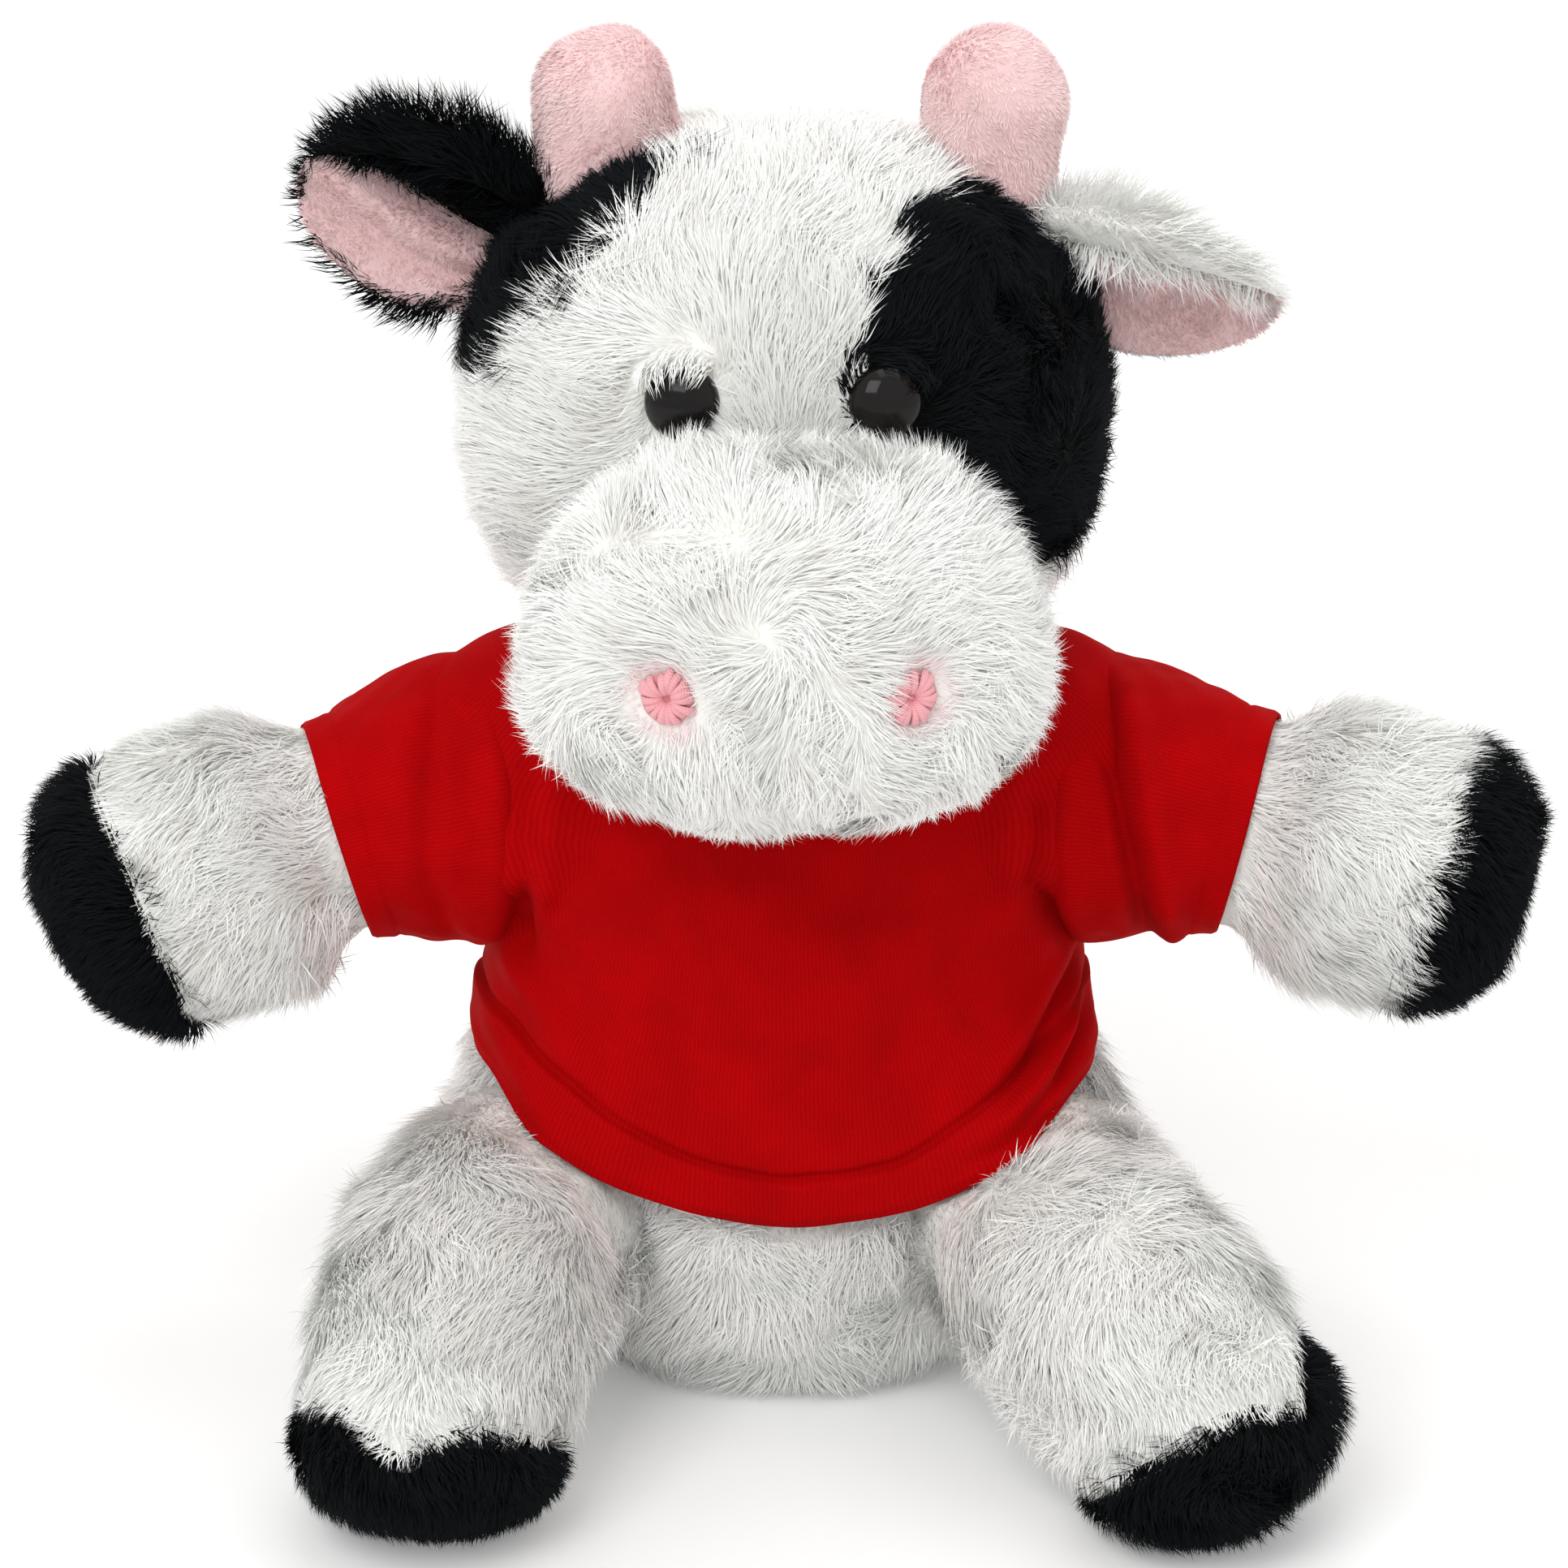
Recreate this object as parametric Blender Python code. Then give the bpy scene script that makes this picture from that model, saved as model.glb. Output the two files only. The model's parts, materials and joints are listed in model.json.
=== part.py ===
# Seated plush cow in a knitted jersey: skins, stuffing, hooves, horns, ears, eyes and jersey pieces.
# Units are metres, +Z is up, the cow faces -Y and sits on Z = 0.
# "left" and "right" are the cow's own, so its left side lies at +X.

import math
from functools import lru_cache

import bmesh
import bpy
import numpy as np
from mathutils import Matrix, Vector

MM = 0.001

# Allowances between pieces
GAP = 0.3 * MM
JOINT_GAP = 0.6 * MM
FILL_GAP = 0.8 * MM
FLOOR_CUT = 0.5 * MM
SKIN = 2.5 * MM
OVERRUN = 30 * MM

# Torso: rows of height, half width and half depth, as shares of the sizes above them
TORSO_HEIGHT = 118 * MM
TORSO_HALF_WIDTH = 49 * MM
TORSO_HALF_DEPTH = 43 * MM
TORSO_ROW_SHARES = (
    (0.0, 0.62, 0.62),
    (0.04, 0.82, 0.82),
    (0.12, 0.94, 0.94),
    (0.25, 0.99, 0.99),
    (0.42, 1.0, 1.0),
    (0.58, 0.96, 0.95),
    (0.71, 0.91, 0.87),
    (0.82, 0.83, 0.75),
    (0.91, 0.66, 0.59),
    (0.97, 0.42, 0.38),
)
TORSO_SIDES = 24
FILL_SIDES = 16
FILL_RINGS = 8

# Rounded ends of the torso on which the limbs and the head turn
SHOULDER_RADIUS = 24.2 * MM
SHOULDER_INNER = 15.8 * MM
SHOULDER_SPREAD = SHOULDER_INNER + SHOULDER_RADIUS
SHOULDER_DROP = 21.5 * MM
SHOULDER_FORWARD = 2 * MM
HIP_RADIUS = 25 * MM
HIP_SPREAD = 33 * MM
HIP_HEIGHT = 28 * MM
HIP_FORWARD = 8 * MM
NECK_RADIUS = 22 * MM
NECK_DROP = 14 * MM
NECK_OPENING = 8 * MM
LEG_OPENING = 14 * MM
BALL_SIDES = 16
BALL_RINGS = 8
INNER_BALL_SIDES = 12
INNER_BALL_RINGS = 6

# Pellet bag in the seat
BAG_HALF_WIDTH = 27 * MM
BAG_HALF_DEPTH = 24 * MM
BAG_HALF_HEIGHT = 11 * MM
BAG_LIFT = 9 * MM

# Arms: a narrow sewn root, a shoulder, a waist under the cuff and a flared paw
ARM_LENGTH = 81 * MM
ARM_NECK_RADIUS = 10 * MM
ARM_ROOT_STEP = 2.2 * MM
ARM_ROOT_RADIUS = SHOULDER_RADIUS - ARM_ROOT_STEP
ARM_CUFF_RADIUS = 18.6 * MM
ARM_PALM = 14 * MM
ARM_PAW_RADIUS = 22 * MM
ARM_CAP = 15 * MM
ARM_HOOF = 14 * MM
ARM_HEADING = 13.0
ARM_START_PITCH = {"left": -7.0, "right": -9.0}
ARM_END_PITCH = {"left": -15.0, "right": -23.0}
ARM_SHOULDER_SHARE = 0.6
ARM_SIDES = 16
ARM_HOLE_SIDES = 12
SHOULDER_RANGE = (-8.0, 24.0)

# Legs: an arch from the hip to the hoof, turned out by the splay
LEG_LENGTH = {"left": 95 * MM, "right": 91 * MM}
LEG_ROOT_STEP = 1.4 * MM
LEG_ROOT_RADIUS = HIP_RADIUS - LEG_ROOT_STEP
LEG_KNEE_RADIUS = 22.6 * MM
LEG_PAW_RADIUS = 20 * MM
LEG_CAP = 14 * MM
LEG_HOOF = 14 * MM
LEG_SEAM_TILT = 3 * MM
LEG_SEAM_LEAN = {"left": 2.4 * MM, "right": 1 * MM}
LEG_NOTCH = 5 * MM
LEG_NOTCH_WIDTH_SHARE = 0.34
LEG_BEND = 66.0
LEG_PITCH_LIMITS = (-20.0, 60.0)
LEG_KNEE_SHARE = 0.6
LEG_START_SPLAY = {"left": 16.0, "right": 21.0}
LEG_END_SPLAY = {"left": 52.0, "right": 7.0}
LEG_SIDES = 16
HIP_RANGE = (-10.0, 12.0)

# Jersey
SHIRT = 1.2 * MM
SHIRT_GAP = 0.3 * MM
HEM_SIDE = 50 * MM
HEM_FRONT_DIP = 14 * MM
HEM_BACK_DIP = 10 * MM
HEM_CURVE = 1.6
COLLAR_RADIUS = 26.5 * MM
COLLAR_RIB = 2.6 * MM
COLLAR_SIDES = 20
COLLAR_RIB_SIDES = 6
SLEEVE_LENGTH = {"left": 37.5 * MM, "right": 35 * MM}
SLEEVE = 1.5 * MM
SLEEVE_EASE = 0.4 * MM

# Head
HEAD_HALF_WIDTH = 48.5 * MM
HEAD_HALF_DEPTH = 42 * MM
HEAD_HALF_HEIGHT = 42 * MM
HEAD_SINK = 6 * MM
HEAD_FORWARD = 4 * MM
HEAD_POWER = 2.3
HEAD_SIDES = 22
HEAD_RINGS = 12
NOD_RANGE = (-8.0, 12.0)

# Muzzle
MUZZLE_HALF_WIDTH = 38 * MM
MUZZLE_HALF_DEPTH = 28 * MM
MUZZLE_HALF_HEIGHT = 27 * MM
MUZZLE_FORWARD = 53 * MM
MUZZLE_DROP = 24 * MM
MUZZLE_POWER = 2.3
JOWL_SHARE = 0.07
MUZZLE_SIDES = 22
MUZZLE_RINGS = 10

# Black patches of the head, as round-ended regions of its skin
EYE_PATCH_SPREAD = 46 * MM
EYE_PATCH_FORWARD = 28 * MM
EYE_PATCH_LIFT = 16 * MM
EYE_PATCH_RADII = (33 * MM, 48 * MM, 32 * MM)
CROWN_PATCH_SPREAD = 90 * MM
CROWN_PATCH_LIFT = 62 * MM
CROWN_PATCH_RADII = (80 * MM, 34 * MM, 80 * MM)

# Safety eyes and their washers
EYE_RADIUS = 5.7 * MM
EYE_DOME = 3.6 * MM
EYE_RIM = 0.8 * MM
EYE_SHANK_RADIUS = 1.7 * MM
EYE_SHANK = 9 * MM
WASHER_RADIUS = 6.5 * MM
WASHER = 1.4 * MM
WASHER_INSET = 2.0 * MM
EYE_SIDES = 16
EYE_PLACE_SHARES = (0.31, 0.235)

# Embroidered nostrils
NOSTRIL_RADIUS = 4.2 * MM
NOSTRIL_HOLE = 0.9 * MM
NOSTRIL = 1.3 * MM
NOSTRIL_SPREAD_SHARE = {"left": 0.49, "right": 0.45}
NOSTRIL_RISE_SHARE = 0.0
NOSTRIL_SIDES = 12

# Horns
HORN_RADIUS = 11.6 * MM
HORN_HEIGHT = 24 * MM
HORN_CLOTH = 1.5 * MM
HORN_ROOT = 9 * MM
HORN_LEAN = {"left": 7.0, "right": 3.0}
HORN_PLACE_SHARE = {"left": 0.64, "right": 0.56}
HORN_SIDES = 14

# Ears: a cupped leaf, its back lined on the hollow side
EAR_LENGTH = {"left": 37 * MM, "right": 35 * MM}
EAR_HALF_HEIGHT = 17 * MM
EAR_BACK = 2.6 * MM
EAR_LINING = 1.2 * MM
EAR_ROOT = 4 * MM
EAR_ROOT_SHARE = 0.5
EAR_LINING_SHARE = 0.86
EAR_CUP = 62.0
EAR_HEIGHT_SHARE = 0.58
EAR_RISE = {"left": -14.0, "right": 20.0}
EAR_FACE = {"left": -42.0, "right": -18.0}
EAR_SWELL_SHARE = 0.6
EAR_TIP_SHARE = 0.985
EAR_RANGE = (-22.0, 18.0)
EAR_STEPS = 7

# Tail
TAIL_HEIGHT = 30 * MM
TAIL_LENGTH = 36 * MM
TAIL_RADIUS = 4.5 * MM
TAIL_TIP_RADIUS = 3.6 * MM
TAIL_START_PITCH = 8.0
TAIL_END_PITCH = -28.0
TAIL_TURN = 55.0
TUFT_LENGTH = 21 * MM
TUFT_RADIUS = 8 * MM
TUFT_SKEW = 0.8
TUFT_BLUNTNESS = 0.7
TAIL_SIDES = 10
TAIL_STEPS = 8
TAIL_RANGE = (-25.0, 25.0)

# Turning step of a swept clearance, steps along a path, and how blunt a limb's end is
SWEEP_STEP = 6.0
PATH_STEPS = 200
CAP_BLUNTNESS = 0.4

# Colour and roughness of each finish; none of them is a metal
FINISHES = {
    "white_plush": ("E9EBE8", 0.95),
    "black_plush": ("0C1012", 0.95),
    "red_jersey": ("B9000C", 0.9),
    "pink_minky": ("E8C0C4", 0.9),
    "pink_thread": ("F0A0A8", 0.7),
    "gloss_brown": ("2A2422", 0.08),
    "fibre_fill": ("F2F2EE", 1.0),
    "bag_cloth": ("C9C3B4", 0.9),
    "washer_plastic": ("E6E6E6", 0.5),
}

SIDES = {"left": 1.0, "right": -1.0}


# Materials

def linear(value):
    """One sRGB channel, 0 to 1, as linear light."""
    if value <= 0.04045:
        return value / 12.92
    return ((value + 0.055) / 1.055) ** 2.4


def finish(name):
    """The Principled material of a named finish, made once."""
    found = bpy.data.materials.get(name)
    if found:
        return found
    colour, roughness = FINISHES[name]
    made = bpy.data.materials.new(name)
    made.use_nodes = True
    shader = made.node_tree.nodes["Principled BSDF"]
    channels = [linear(int(colour[i:i + 2], 16) / 255) for i in (0, 2, 4)]
    shader.inputs["Base Color"].default_value = (*channels, 1.0)
    shader.inputs["Roughness"].default_value = roughness
    shader.inputs["Metallic"].default_value = 0.0
    made.diffuse_color = (*channels, 1.0)
    return made


# Meshes from grids of points

def grid_faces(rows, columns, closed_rows):
    """Quads of a grid whose columns close into a ring, and whose rows may close too."""
    faces = []
    for row in range(rows if closed_rows else rows - 1):
        following = (row + 1) % rows
        for column in range(columns):
            beside = (column + 1) % columns
            faces.append((row * columns + column, row * columns + beside,
                          following * columns + beside, following * columns + column))
    return faces


def capped_grid(rings, first, last):
    """A closed surface: rings (rows, columns, 3) between two end points."""
    rows, columns = rings.shape[:2]
    points = np.concatenate([rings.reshape(-1, 3), [first, last]])
    faces = grid_faces(rows, columns, False)
    start = rows * columns
    for column in range(columns):
        beside = (column + 1) % columns
        faces.append((start, beside, column))
        last_row = (rows - 1) * columns
        faces.append((start + 1, last_row + column, last_row + beside))
    return points, faces


def signed_volume(points, faces):
    """Volume inside the faces, positive where they point outwards."""
    total = 0.0
    for face in faces:
        for step in range(1, len(face) - 1):
            a, b, c = points[face[0]], points[face[step]], points[face[step + 1]]
            total += np.dot(a, np.cross(b, c))
    return total


def outward(points, faces):
    """The same faces, turned if they point inwards."""
    if signed_volume(points - points.mean(axis=0), faces) < 0:
        return [tuple(reversed(face)) for face in faces]
    return faces


def vertex_normals(points, faces):
    """Outward unit normals at the points, from the areas of the faces around them."""
    normals = np.zeros_like(points)
    for face in faces:
        for step in range(1, len(face) - 1):
            corners = (face[0], face[step], face[step + 1])
            a, b, c = (points[corner] for corner in corners)
            area = np.cross(b - a, c - a)
            for corner in corners:
                normals[corner] += area
    return normals / np.linalg.norm(normals, axis=1)[:, None]


def grown(points, faces, grow):
    """The points moved along their normals, out where grow is positive."""
    return points + vertex_normals(points, faces) * grow


def mesh_of(points, faces):
    """A Blender mesh with the given points and outward faces."""
    mesh = bpy.data.meshes.new("shape")
    mesh.from_pydata([tuple(point) for point in points], [], outward(points, faces))
    mesh.update()
    return mesh


# Solids combined with Boolean modifiers

def solved(base, operation, other, solver):
    """The result of one Boolean modifier."""
    holder = bpy.data.objects.new("base", base)
    tool = bpy.data.objects.new("tool", other)
    tool.hide_render = True
    tool.display_type = "WIRE"
    for item in (holder, tool):
        bpy.context.scene.collection.objects.link(item)
    boolean = holder.modifiers.new("boolean", "BOOLEAN")
    boolean.operation = operation
    boolean.solver = solver
    boolean.object = tool
    graph = bpy.context.evaluated_depsgraph_get()
    result = bpy.data.meshes.new_from_object(holder.evaluated_get(graph))
    for item in (holder, tool):
        bpy.data.objects.remove(item)
    return result


def is_closed(mesh):
    """True where each edge of the mesh has a face on both sides."""
    corners = np.zeros(len(mesh.loops), dtype=np.int64)
    mesh.loops.foreach_get("edge_index", corners)
    return len(mesh.loops) > 0 and bool(np.all(np.bincount(corners) == 2))


def combined(base, operation, others, solver):
    """The base mesh joined with, cut by or kept within each of the other meshes in turn.

    Where the exact solver leaves an open edge between faces that nearly touch, the manifold
    solver takes that step.
    """
    for other in others:
        result = solved(base, operation, other, solver)
        if solver == "EXACT" and not is_closed(result):
            result = solved(base, operation, other, "MANIFOLD")
        base = result
    return base


def united(meshes, solver="EXACT"):
    return combined(meshes[0], "UNION", meshes[1:], solver)


def cut(mesh, *cutters):
    return combined(mesh, "DIFFERENCE", cutters, "EXACT")


def within(mesh, region):
    return combined(mesh, "INTERSECT", (region,), "EXACT")


def moved(mesh, matrix):
    """A copy of the mesh, placed by the matrix."""
    copy = mesh.copy()
    copy.transform(matrix)
    return copy


def about(pivot, axis, degrees):
    """The turn by some degrees about an axis through the pivot."""
    place = Matrix.Translation(pivot)
    return place @ Matrix.Rotation(math.radians(degrees), 4, Vector(axis)) @ place.inverted()


def sweep_of(mesh, pivot, axis, limits, step=SWEEP_STEP):
    """The space that a fixed mesh takes as seen from a piece that turns between the limits."""
    count = max(2, math.ceil((limits[1] - limits[0]) / step) + 1)
    angles = np.linspace(limits[0], limits[1], count)
    return united([moved(mesh, about(pivot, axis, -angle)) for angle in angles], "MANIFOLD")


def largest_body(mesh):
    """The mesh without the crumbs that a cut can leave beside the main body."""
    shape = bmesh.new()
    shape.from_mesh(mesh)
    shape.faces.ensure_lookup_table()
    seen = set()
    bodies = []
    for face in shape.faces:
        if face.index in seen:
            continue
        body, front = [], [face]
        seen.add(face.index)
        while front:
            current = front.pop()
            body.append(current)
            for edge in current.edges:
                for neighbour in edge.link_faces:
                    if neighbour.index not in seen:
                        seen.add(neighbour.index)
                        front.append(neighbour)
        bodies.append(body)
    bodies.sort(key=lambda body: sum(item.calc_area() for item in body), reverse=True)
    for body in bodies[1:]:
        bmesh.ops.delete(shape, geom=body, context="FACES")
    shape.to_mesh(mesh)
    shape.free()
    return mesh


def add_piece(name, mesh, finish_name, pivot=(0.0, 0.0, 0.0)):
    """A named piece of the cow, its origin at the pivot that it turns about."""
    mesh.name = name
    largest_body(mesh)
    mesh.transform(Matrix.Translation(Vector(pivot)).inverted())
    mesh.materials.clear()
    mesh.materials.append(finish(finish_name))
    piece = bpy.data.objects.new(name, mesh)
    piece.location = pivot
    bpy.context.scene.collection.objects.link(piece)
    mesh.shade_smooth()
    mesh.set_sharp_from_angle(angle=math.radians(40))
    return piece


# Basic forms

def torso_form(grow, sides=TORSO_SIDES):
    """The barrel of the body: oval sections between a flat seat and a rounded top."""
    rows = np.array(TORSO_ROW_SHARES)
    turn = np.linspace(0, 2 * math.pi, sides, endpoint=False)
    rings = np.stack([
        rows[:, 1:2] * TORSO_HALF_WIDTH * np.cos(turn),
        rows[:, 2:3] * TORSO_HALF_DEPTH * np.sin(turn),
        rows[:, 0:1] * TORSO_HEIGHT + 0 * turn,
    ], axis=-1)
    points, faces = capped_grid(rings, (0, 0, -FLOOR_CUT), (0, 0, TORSO_HEIGHT))
    faces = outward(points, faces)
    points = grown(points, faces, grow)
    points[:, 2] = np.maximum(points[:, 2], -grow)
    return mesh_of(points, faces)


def rounded_form(centre, halves, power, sides, rings, grow, bulge=None):
    """An egg shape whose squareness is set by the power; bulge may reshape its unit form."""
    polar = np.linspace(0, math.pi, rings + 1)
    turn = np.linspace(0, 2 * math.pi, sides, endpoint=False)
    unit = np.stack([
        np.sin(polar)[:, None] * np.cos(turn),
        np.sin(polar)[:, None] * np.sin(turn),
        np.cos(polar)[:, None] + 0 * turn,
    ], axis=-1)
    unit /= (np.abs(unit) ** power).sum(axis=-1, keepdims=True) ** (1 / power)
    if bulge:
        unit = bulge(unit)
    ends = unit[0, 0] * halves + centre, unit[-1, 0] * halves + centre
    points, faces = capped_grid(unit[1:-1] * halves + centre, *ends)
    faces = outward(points, faces)
    return mesh_of(grown(points, faces, grow), faces)


def ball(centre, radius, sides=BALL_SIDES, rings=BALL_RINGS):
    return rounded_form(np.array(centre), np.full(3, radius), 2, sides, rings, 0)


def jowls(unit):
    """Widens the lower half of the muzzle and narrows the upper half."""
    shaped = unit.copy()
    shaped[..., 0] *= 1 - JOWL_SHARE * unit[..., 2]
    return shaped


def box(low, high):
    """A box between two corners."""
    corners = [(x, y, z) for x in (low[0], high[0]) for y in (low[1], high[1])
               for z in (low[2], high[2])]
    faces = [(0, 1, 3, 2), (4, 6, 7, 5), (0, 4, 5, 1), (2, 3, 7, 6), (0, 2, 6, 4), (1, 5, 7, 3)]
    return mesh_of(np.array(corners), faces)


def below(level):
    """Everything under a height."""
    reach = 4 * TORSO_HEIGHT
    return box((-reach, -reach, -reach), (reach, reach, level))


def rod(start, direction, length, radius, sides):
    """A round bar from a start point along a direction."""
    return turned(straight_path(start, direction), [(0, 0), (0, radius), (length, radius),
                                                    (length, 0)], sides)


# Forms carried along a path

def bent_path(start, heading, pitch, length, lead):
    """A path that runs straight for a lead, then changes its heading and pitch evenly.

    Both are in degrees. Heading 0 points to +X and turns towards +Y; pitch is the rise above
    the horizontal.
    """
    run = np.linspace(0, length, PATH_STEPS)
    share = np.clip((run - lead) / (length - lead), 0, 1)
    yaw = np.radians(heading[0] + (heading[1] - heading[0]) * share)
    rise = np.radians(pitch[0] + (pitch[1] - pitch[0]) * share)
    along = np.stack([np.cos(rise) * np.cos(yaw), np.cos(rise) * np.sin(yaw), np.sin(rise)], 1)
    steps = (along[1:] + along[:-1]) / 2 * (run[1] - run[0])
    line = np.concatenate([[start], start + np.cumsum(steps, axis=0)])

    def frame(distance):
        spot = np.clip(distance, 0, length)
        place = np.stack([np.interp(spot, run, line[:, axis]) for axis in range(3)], -1)
        yaw_here = np.interp(spot, run, yaw)
        rise_here = np.interp(spot, run, rise)
        ahead = np.stack([np.cos(rise_here) * np.cos(yaw_here),
                          np.cos(rise_here) * np.sin(yaw_here), np.sin(rise_here)], -1)
        side = np.stack([-np.sin(yaw_here), np.cos(yaw_here), 0 * yaw_here], -1)
        place = place + ahead * (distance - spot)[..., None]
        return place, side, np.cross(ahead, side)

    return frame


def straight_path(start, direction):
    """A straight path from a point."""
    ahead = np.array(direction) / np.linalg.norm(direction)
    helper = np.array([0, 0, 1.0]) if abs(ahead[2]) < 0.9 else np.array([0, 1.0, 0])
    side = np.cross(helper, ahead)
    side /= np.linalg.norm(side)
    up = np.cross(ahead, side)

    def frame(distance):
        place = np.array(start) + ahead * distance[..., None]
        return place, side + 0 * place, up + 0 * place

    return frame


def rings_on(path, distance, radius, sides):
    """Rings of points round a path, from distances and radii that may vary round it."""
    turn = np.linspace(0, 2 * math.pi, sides, endpoint=False)
    place, side, up = path(distance + 0 * turn)
    return place + radius[..., None] * (side * np.cos(turn)[:, None] + up * np.sin(turn)[:, None])


def straightened(path, lead):
    """The straight line on which a path starts."""
    start, end = path(np.array([0.0, lead]))[0]
    return straight_path(start, end - start)


def turned(path, profile, sides):
    """A profile of (distance along the path, radius) points carried round the path.

    A profile that starts and ends on the path closes itself there, any other closes as a loop.
    """
    on_axis = profile[0][1] == 0 and profile[-1][1] == 0
    points = np.array(profile[1:-1] if on_axis else profile)
    rings = rings_on(path, points[:, 0:1], points[:, 1:2], sides)
    if on_axis:
        first = path(np.array([profile[0][0]]))[0][0]
        last = path(np.array([profile[-1][0]]))[0][0]
        return mesh_of(*capped_grid(rings, first, last))
    return mesh_of(rings.reshape(-1, 3), grid_faces(len(points), sides, True))


def eased(value):
    return value * value * (3 - 2 * value)


def limb_radius(stations):
    """Radius along a limb, eased between (distance, radius) stations."""
    def radius(distance):
        for (start, first), (end, last) in zip(stations, stations[1:]):
            if distance <= end:
                share = max(0.0, (distance - start) / (end - start))
                return first + (last - first) * eased(share)
        return stations[-1][1]
    return radius


def side_profile(stations, start, end, grow):
    """Points along the side of a limb, from a start to an end distance.

    Between them lie the stations and the points halfway between stations, so that a skin, its
    inner face and its stuffing all bend at the same places.
    """
    places = [station[0] for station in stations]
    places += [(first + second) / 2 for first, second in zip(places, places[1:])]
    low, high = min(start, end) + SKIN / 2, max(start, end) - SKIN / 2
    between = sorted((place for place in places if low < place < high), reverse=start > end)
    radius = limb_radius(stations)
    return [(place, radius(place) + grow) for place in (start, *between, end)]


def cap_places(length, cap, start, grow, steps=6):
    """Distances over the rounded end of a limb, closer together towards its tip."""
    base = length - cap
    first = math.asin(min(1.0, max(0.0, (start - base) / (cap + grow))))
    return [base + (cap + grow) * math.sin(angle)
            for angle in np.linspace(first, math.pi / 2, steps)]


def capped_radius(stations, length, cap, distance, grow):
    """Radius of a limb with a blunt rounded end, at any distance along it."""
    side = np.vectorize(limb_radius(stations))(distance) + grow
    share = np.clip((distance - length + cap) / (cap + grow), 0, 1)
    return side * (1 - share ** 2) ** CAP_BLUNTNESS


def cap_profile(stations, length, cap, start, grow, steps=6):
    """Points over the rounded end of a limb, from a distance to the tip on its axis."""
    places = cap_places(length, cap, start, grow, steps)
    points = [(place, float(capped_radius(stations, length, cap, place, grow)))
              for place in places[:-1]]
    return points + [(length + grow, 0)]


def seat_profile(sphere, inner, outer, steps):
    """Points on a sphere round the path's start, between two radii from the path."""
    return [(math.sqrt(sphere ** 2 - radius ** 2), radius)
            for radius in np.linspace(inner, outer, steps)]


# Places that several pieces share

SHOULDER_Z = TORSO_HEIGHT - SHOULDER_DROP
NECK = (0.0, 0.0, TORSO_HEIGHT - NECK_DROP)
SHIRT_OUT = SHIRT_GAP + SHIRT
HEAD_CENTRE = np.array([0, -HEAD_FORWARD, NECK[2] + NECK_RADIUS - HEAD_SINK + HEAD_HALF_HEIGHT])
HEAD_HALVES = np.array([HEAD_HALF_WIDTH, HEAD_HALF_DEPTH, HEAD_HALF_HEIGHT])
MUZZLE_CENTRE = HEAD_CENTRE + np.array([0, -MUZZLE_FORWARD, -MUZZLE_DROP])
MUZZLE_HALVES = np.array([MUZZLE_HALF_WIDTH, MUZZLE_HALF_DEPTH, MUZZLE_HALF_HEIGHT])


def shoulder(side):
    return (SIDES[side] * SHOULDER_SPREAD, -SHOULDER_FORWARD, SHOULDER_Z)


def hip(side):
    return (SIDES[side] * HIP_SPREAD, -HIP_FORWARD, HIP_HEIGHT)


def arm_path(side):
    sign = SIDES[side]
    heading = -ARM_HEADING if sign > 0 else 180 + ARM_HEADING
    pitch = ARM_START_PITCH[side], ARM_END_PITCH[side]
    return bent_path(shoulder(side), (heading, heading), pitch, ARM_LENGTH, SHOULDER_RADIUS)


def leg_path(side, pitch):
    sign = SIDES[side]
    heading = [-90 + sign * angle for angle in (LEG_START_SPLAY[side], LEG_END_SPLAY[side])]
    pitches = (pitch, pitch - LEG_BEND)
    return bent_path(hip(side), heading, pitches, LEG_LENGTH[side], HIP_RADIUS)


def torso_balls(grow):
    """The rounded shoulders, hips and neck of the torso."""
    centres = [(shoulder(side), SHOULDER_RADIUS) for side in SIDES]
    centres += [(hip(side), HIP_RADIUS) for side in SIDES]
    centres.append((NECK, NECK_RADIUS))
    detail = (BALL_SIDES, BALL_RINGS) if grow >= 0 else (INNER_BALL_SIDES, INNER_BALL_RINGS)
    return [ball(centre, radius + grow, *detail) for centre, radius in centres]


def torso_solid(grow, sides=TORSO_SIDES):
    """The whole torso with its rounded shoulders, hips and neck."""
    whole = united([torso_form(grow, sides)] + torso_balls(grow))
    return cut(whole, below(-grow))


def hem_height(turn):
    """Height of the jersey's hem at an angle round the body: low in front, high at the hips."""
    front = np.maximum(0, -np.sin(turn)) ** HEM_CURVE * HEM_FRONT_DIP
    back = np.maximum(0, np.sin(turn)) ** HEM_CURVE * HEM_BACK_DIP
    return HEM_SIDE - front - back


def below_hem(drop):
    """Everything under the jersey's hem."""
    turn = np.linspace(0, 2 * math.pi, TORSO_SIDES, endpoint=False)
    near, far = TORSO_HALF_WIDTH / 4, TORSO_HALF_WIDTH * 3
    level = hem_height(turn) - drop
    rings = np.stack([
        np.stack([near * np.cos(turn), near * np.sin(turn), level], -1),
        np.stack([far * np.cos(turn), far * np.sin(turn), level], -1),
        np.stack([far * np.cos(turn), far * np.sin(turn), 0 * turn - TORSO_HEIGHT], -1),
    ])
    return mesh_of(*capped_grid(rings, (0, 0, HEM_SIDE - drop), (0, 0, -TORSO_HEIGHT)))


def shirt_solid(grow):
    """The jersey's body without sleeves, as if it were solid."""
    shells = [torso_form(SHIRT_OUT + grow)]
    shells += [ball(shoulder(side), SHOULDER_RADIUS + SHIRT_OUT + grow) for side in SIDES]
    return cut(united(shells), below_hem(grow))


def head_form(grow, sides=HEAD_SIDES, rings=HEAD_RINGS):
    return rounded_form(HEAD_CENTRE, HEAD_HALVES, HEAD_POWER, sides, rings, grow)


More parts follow.
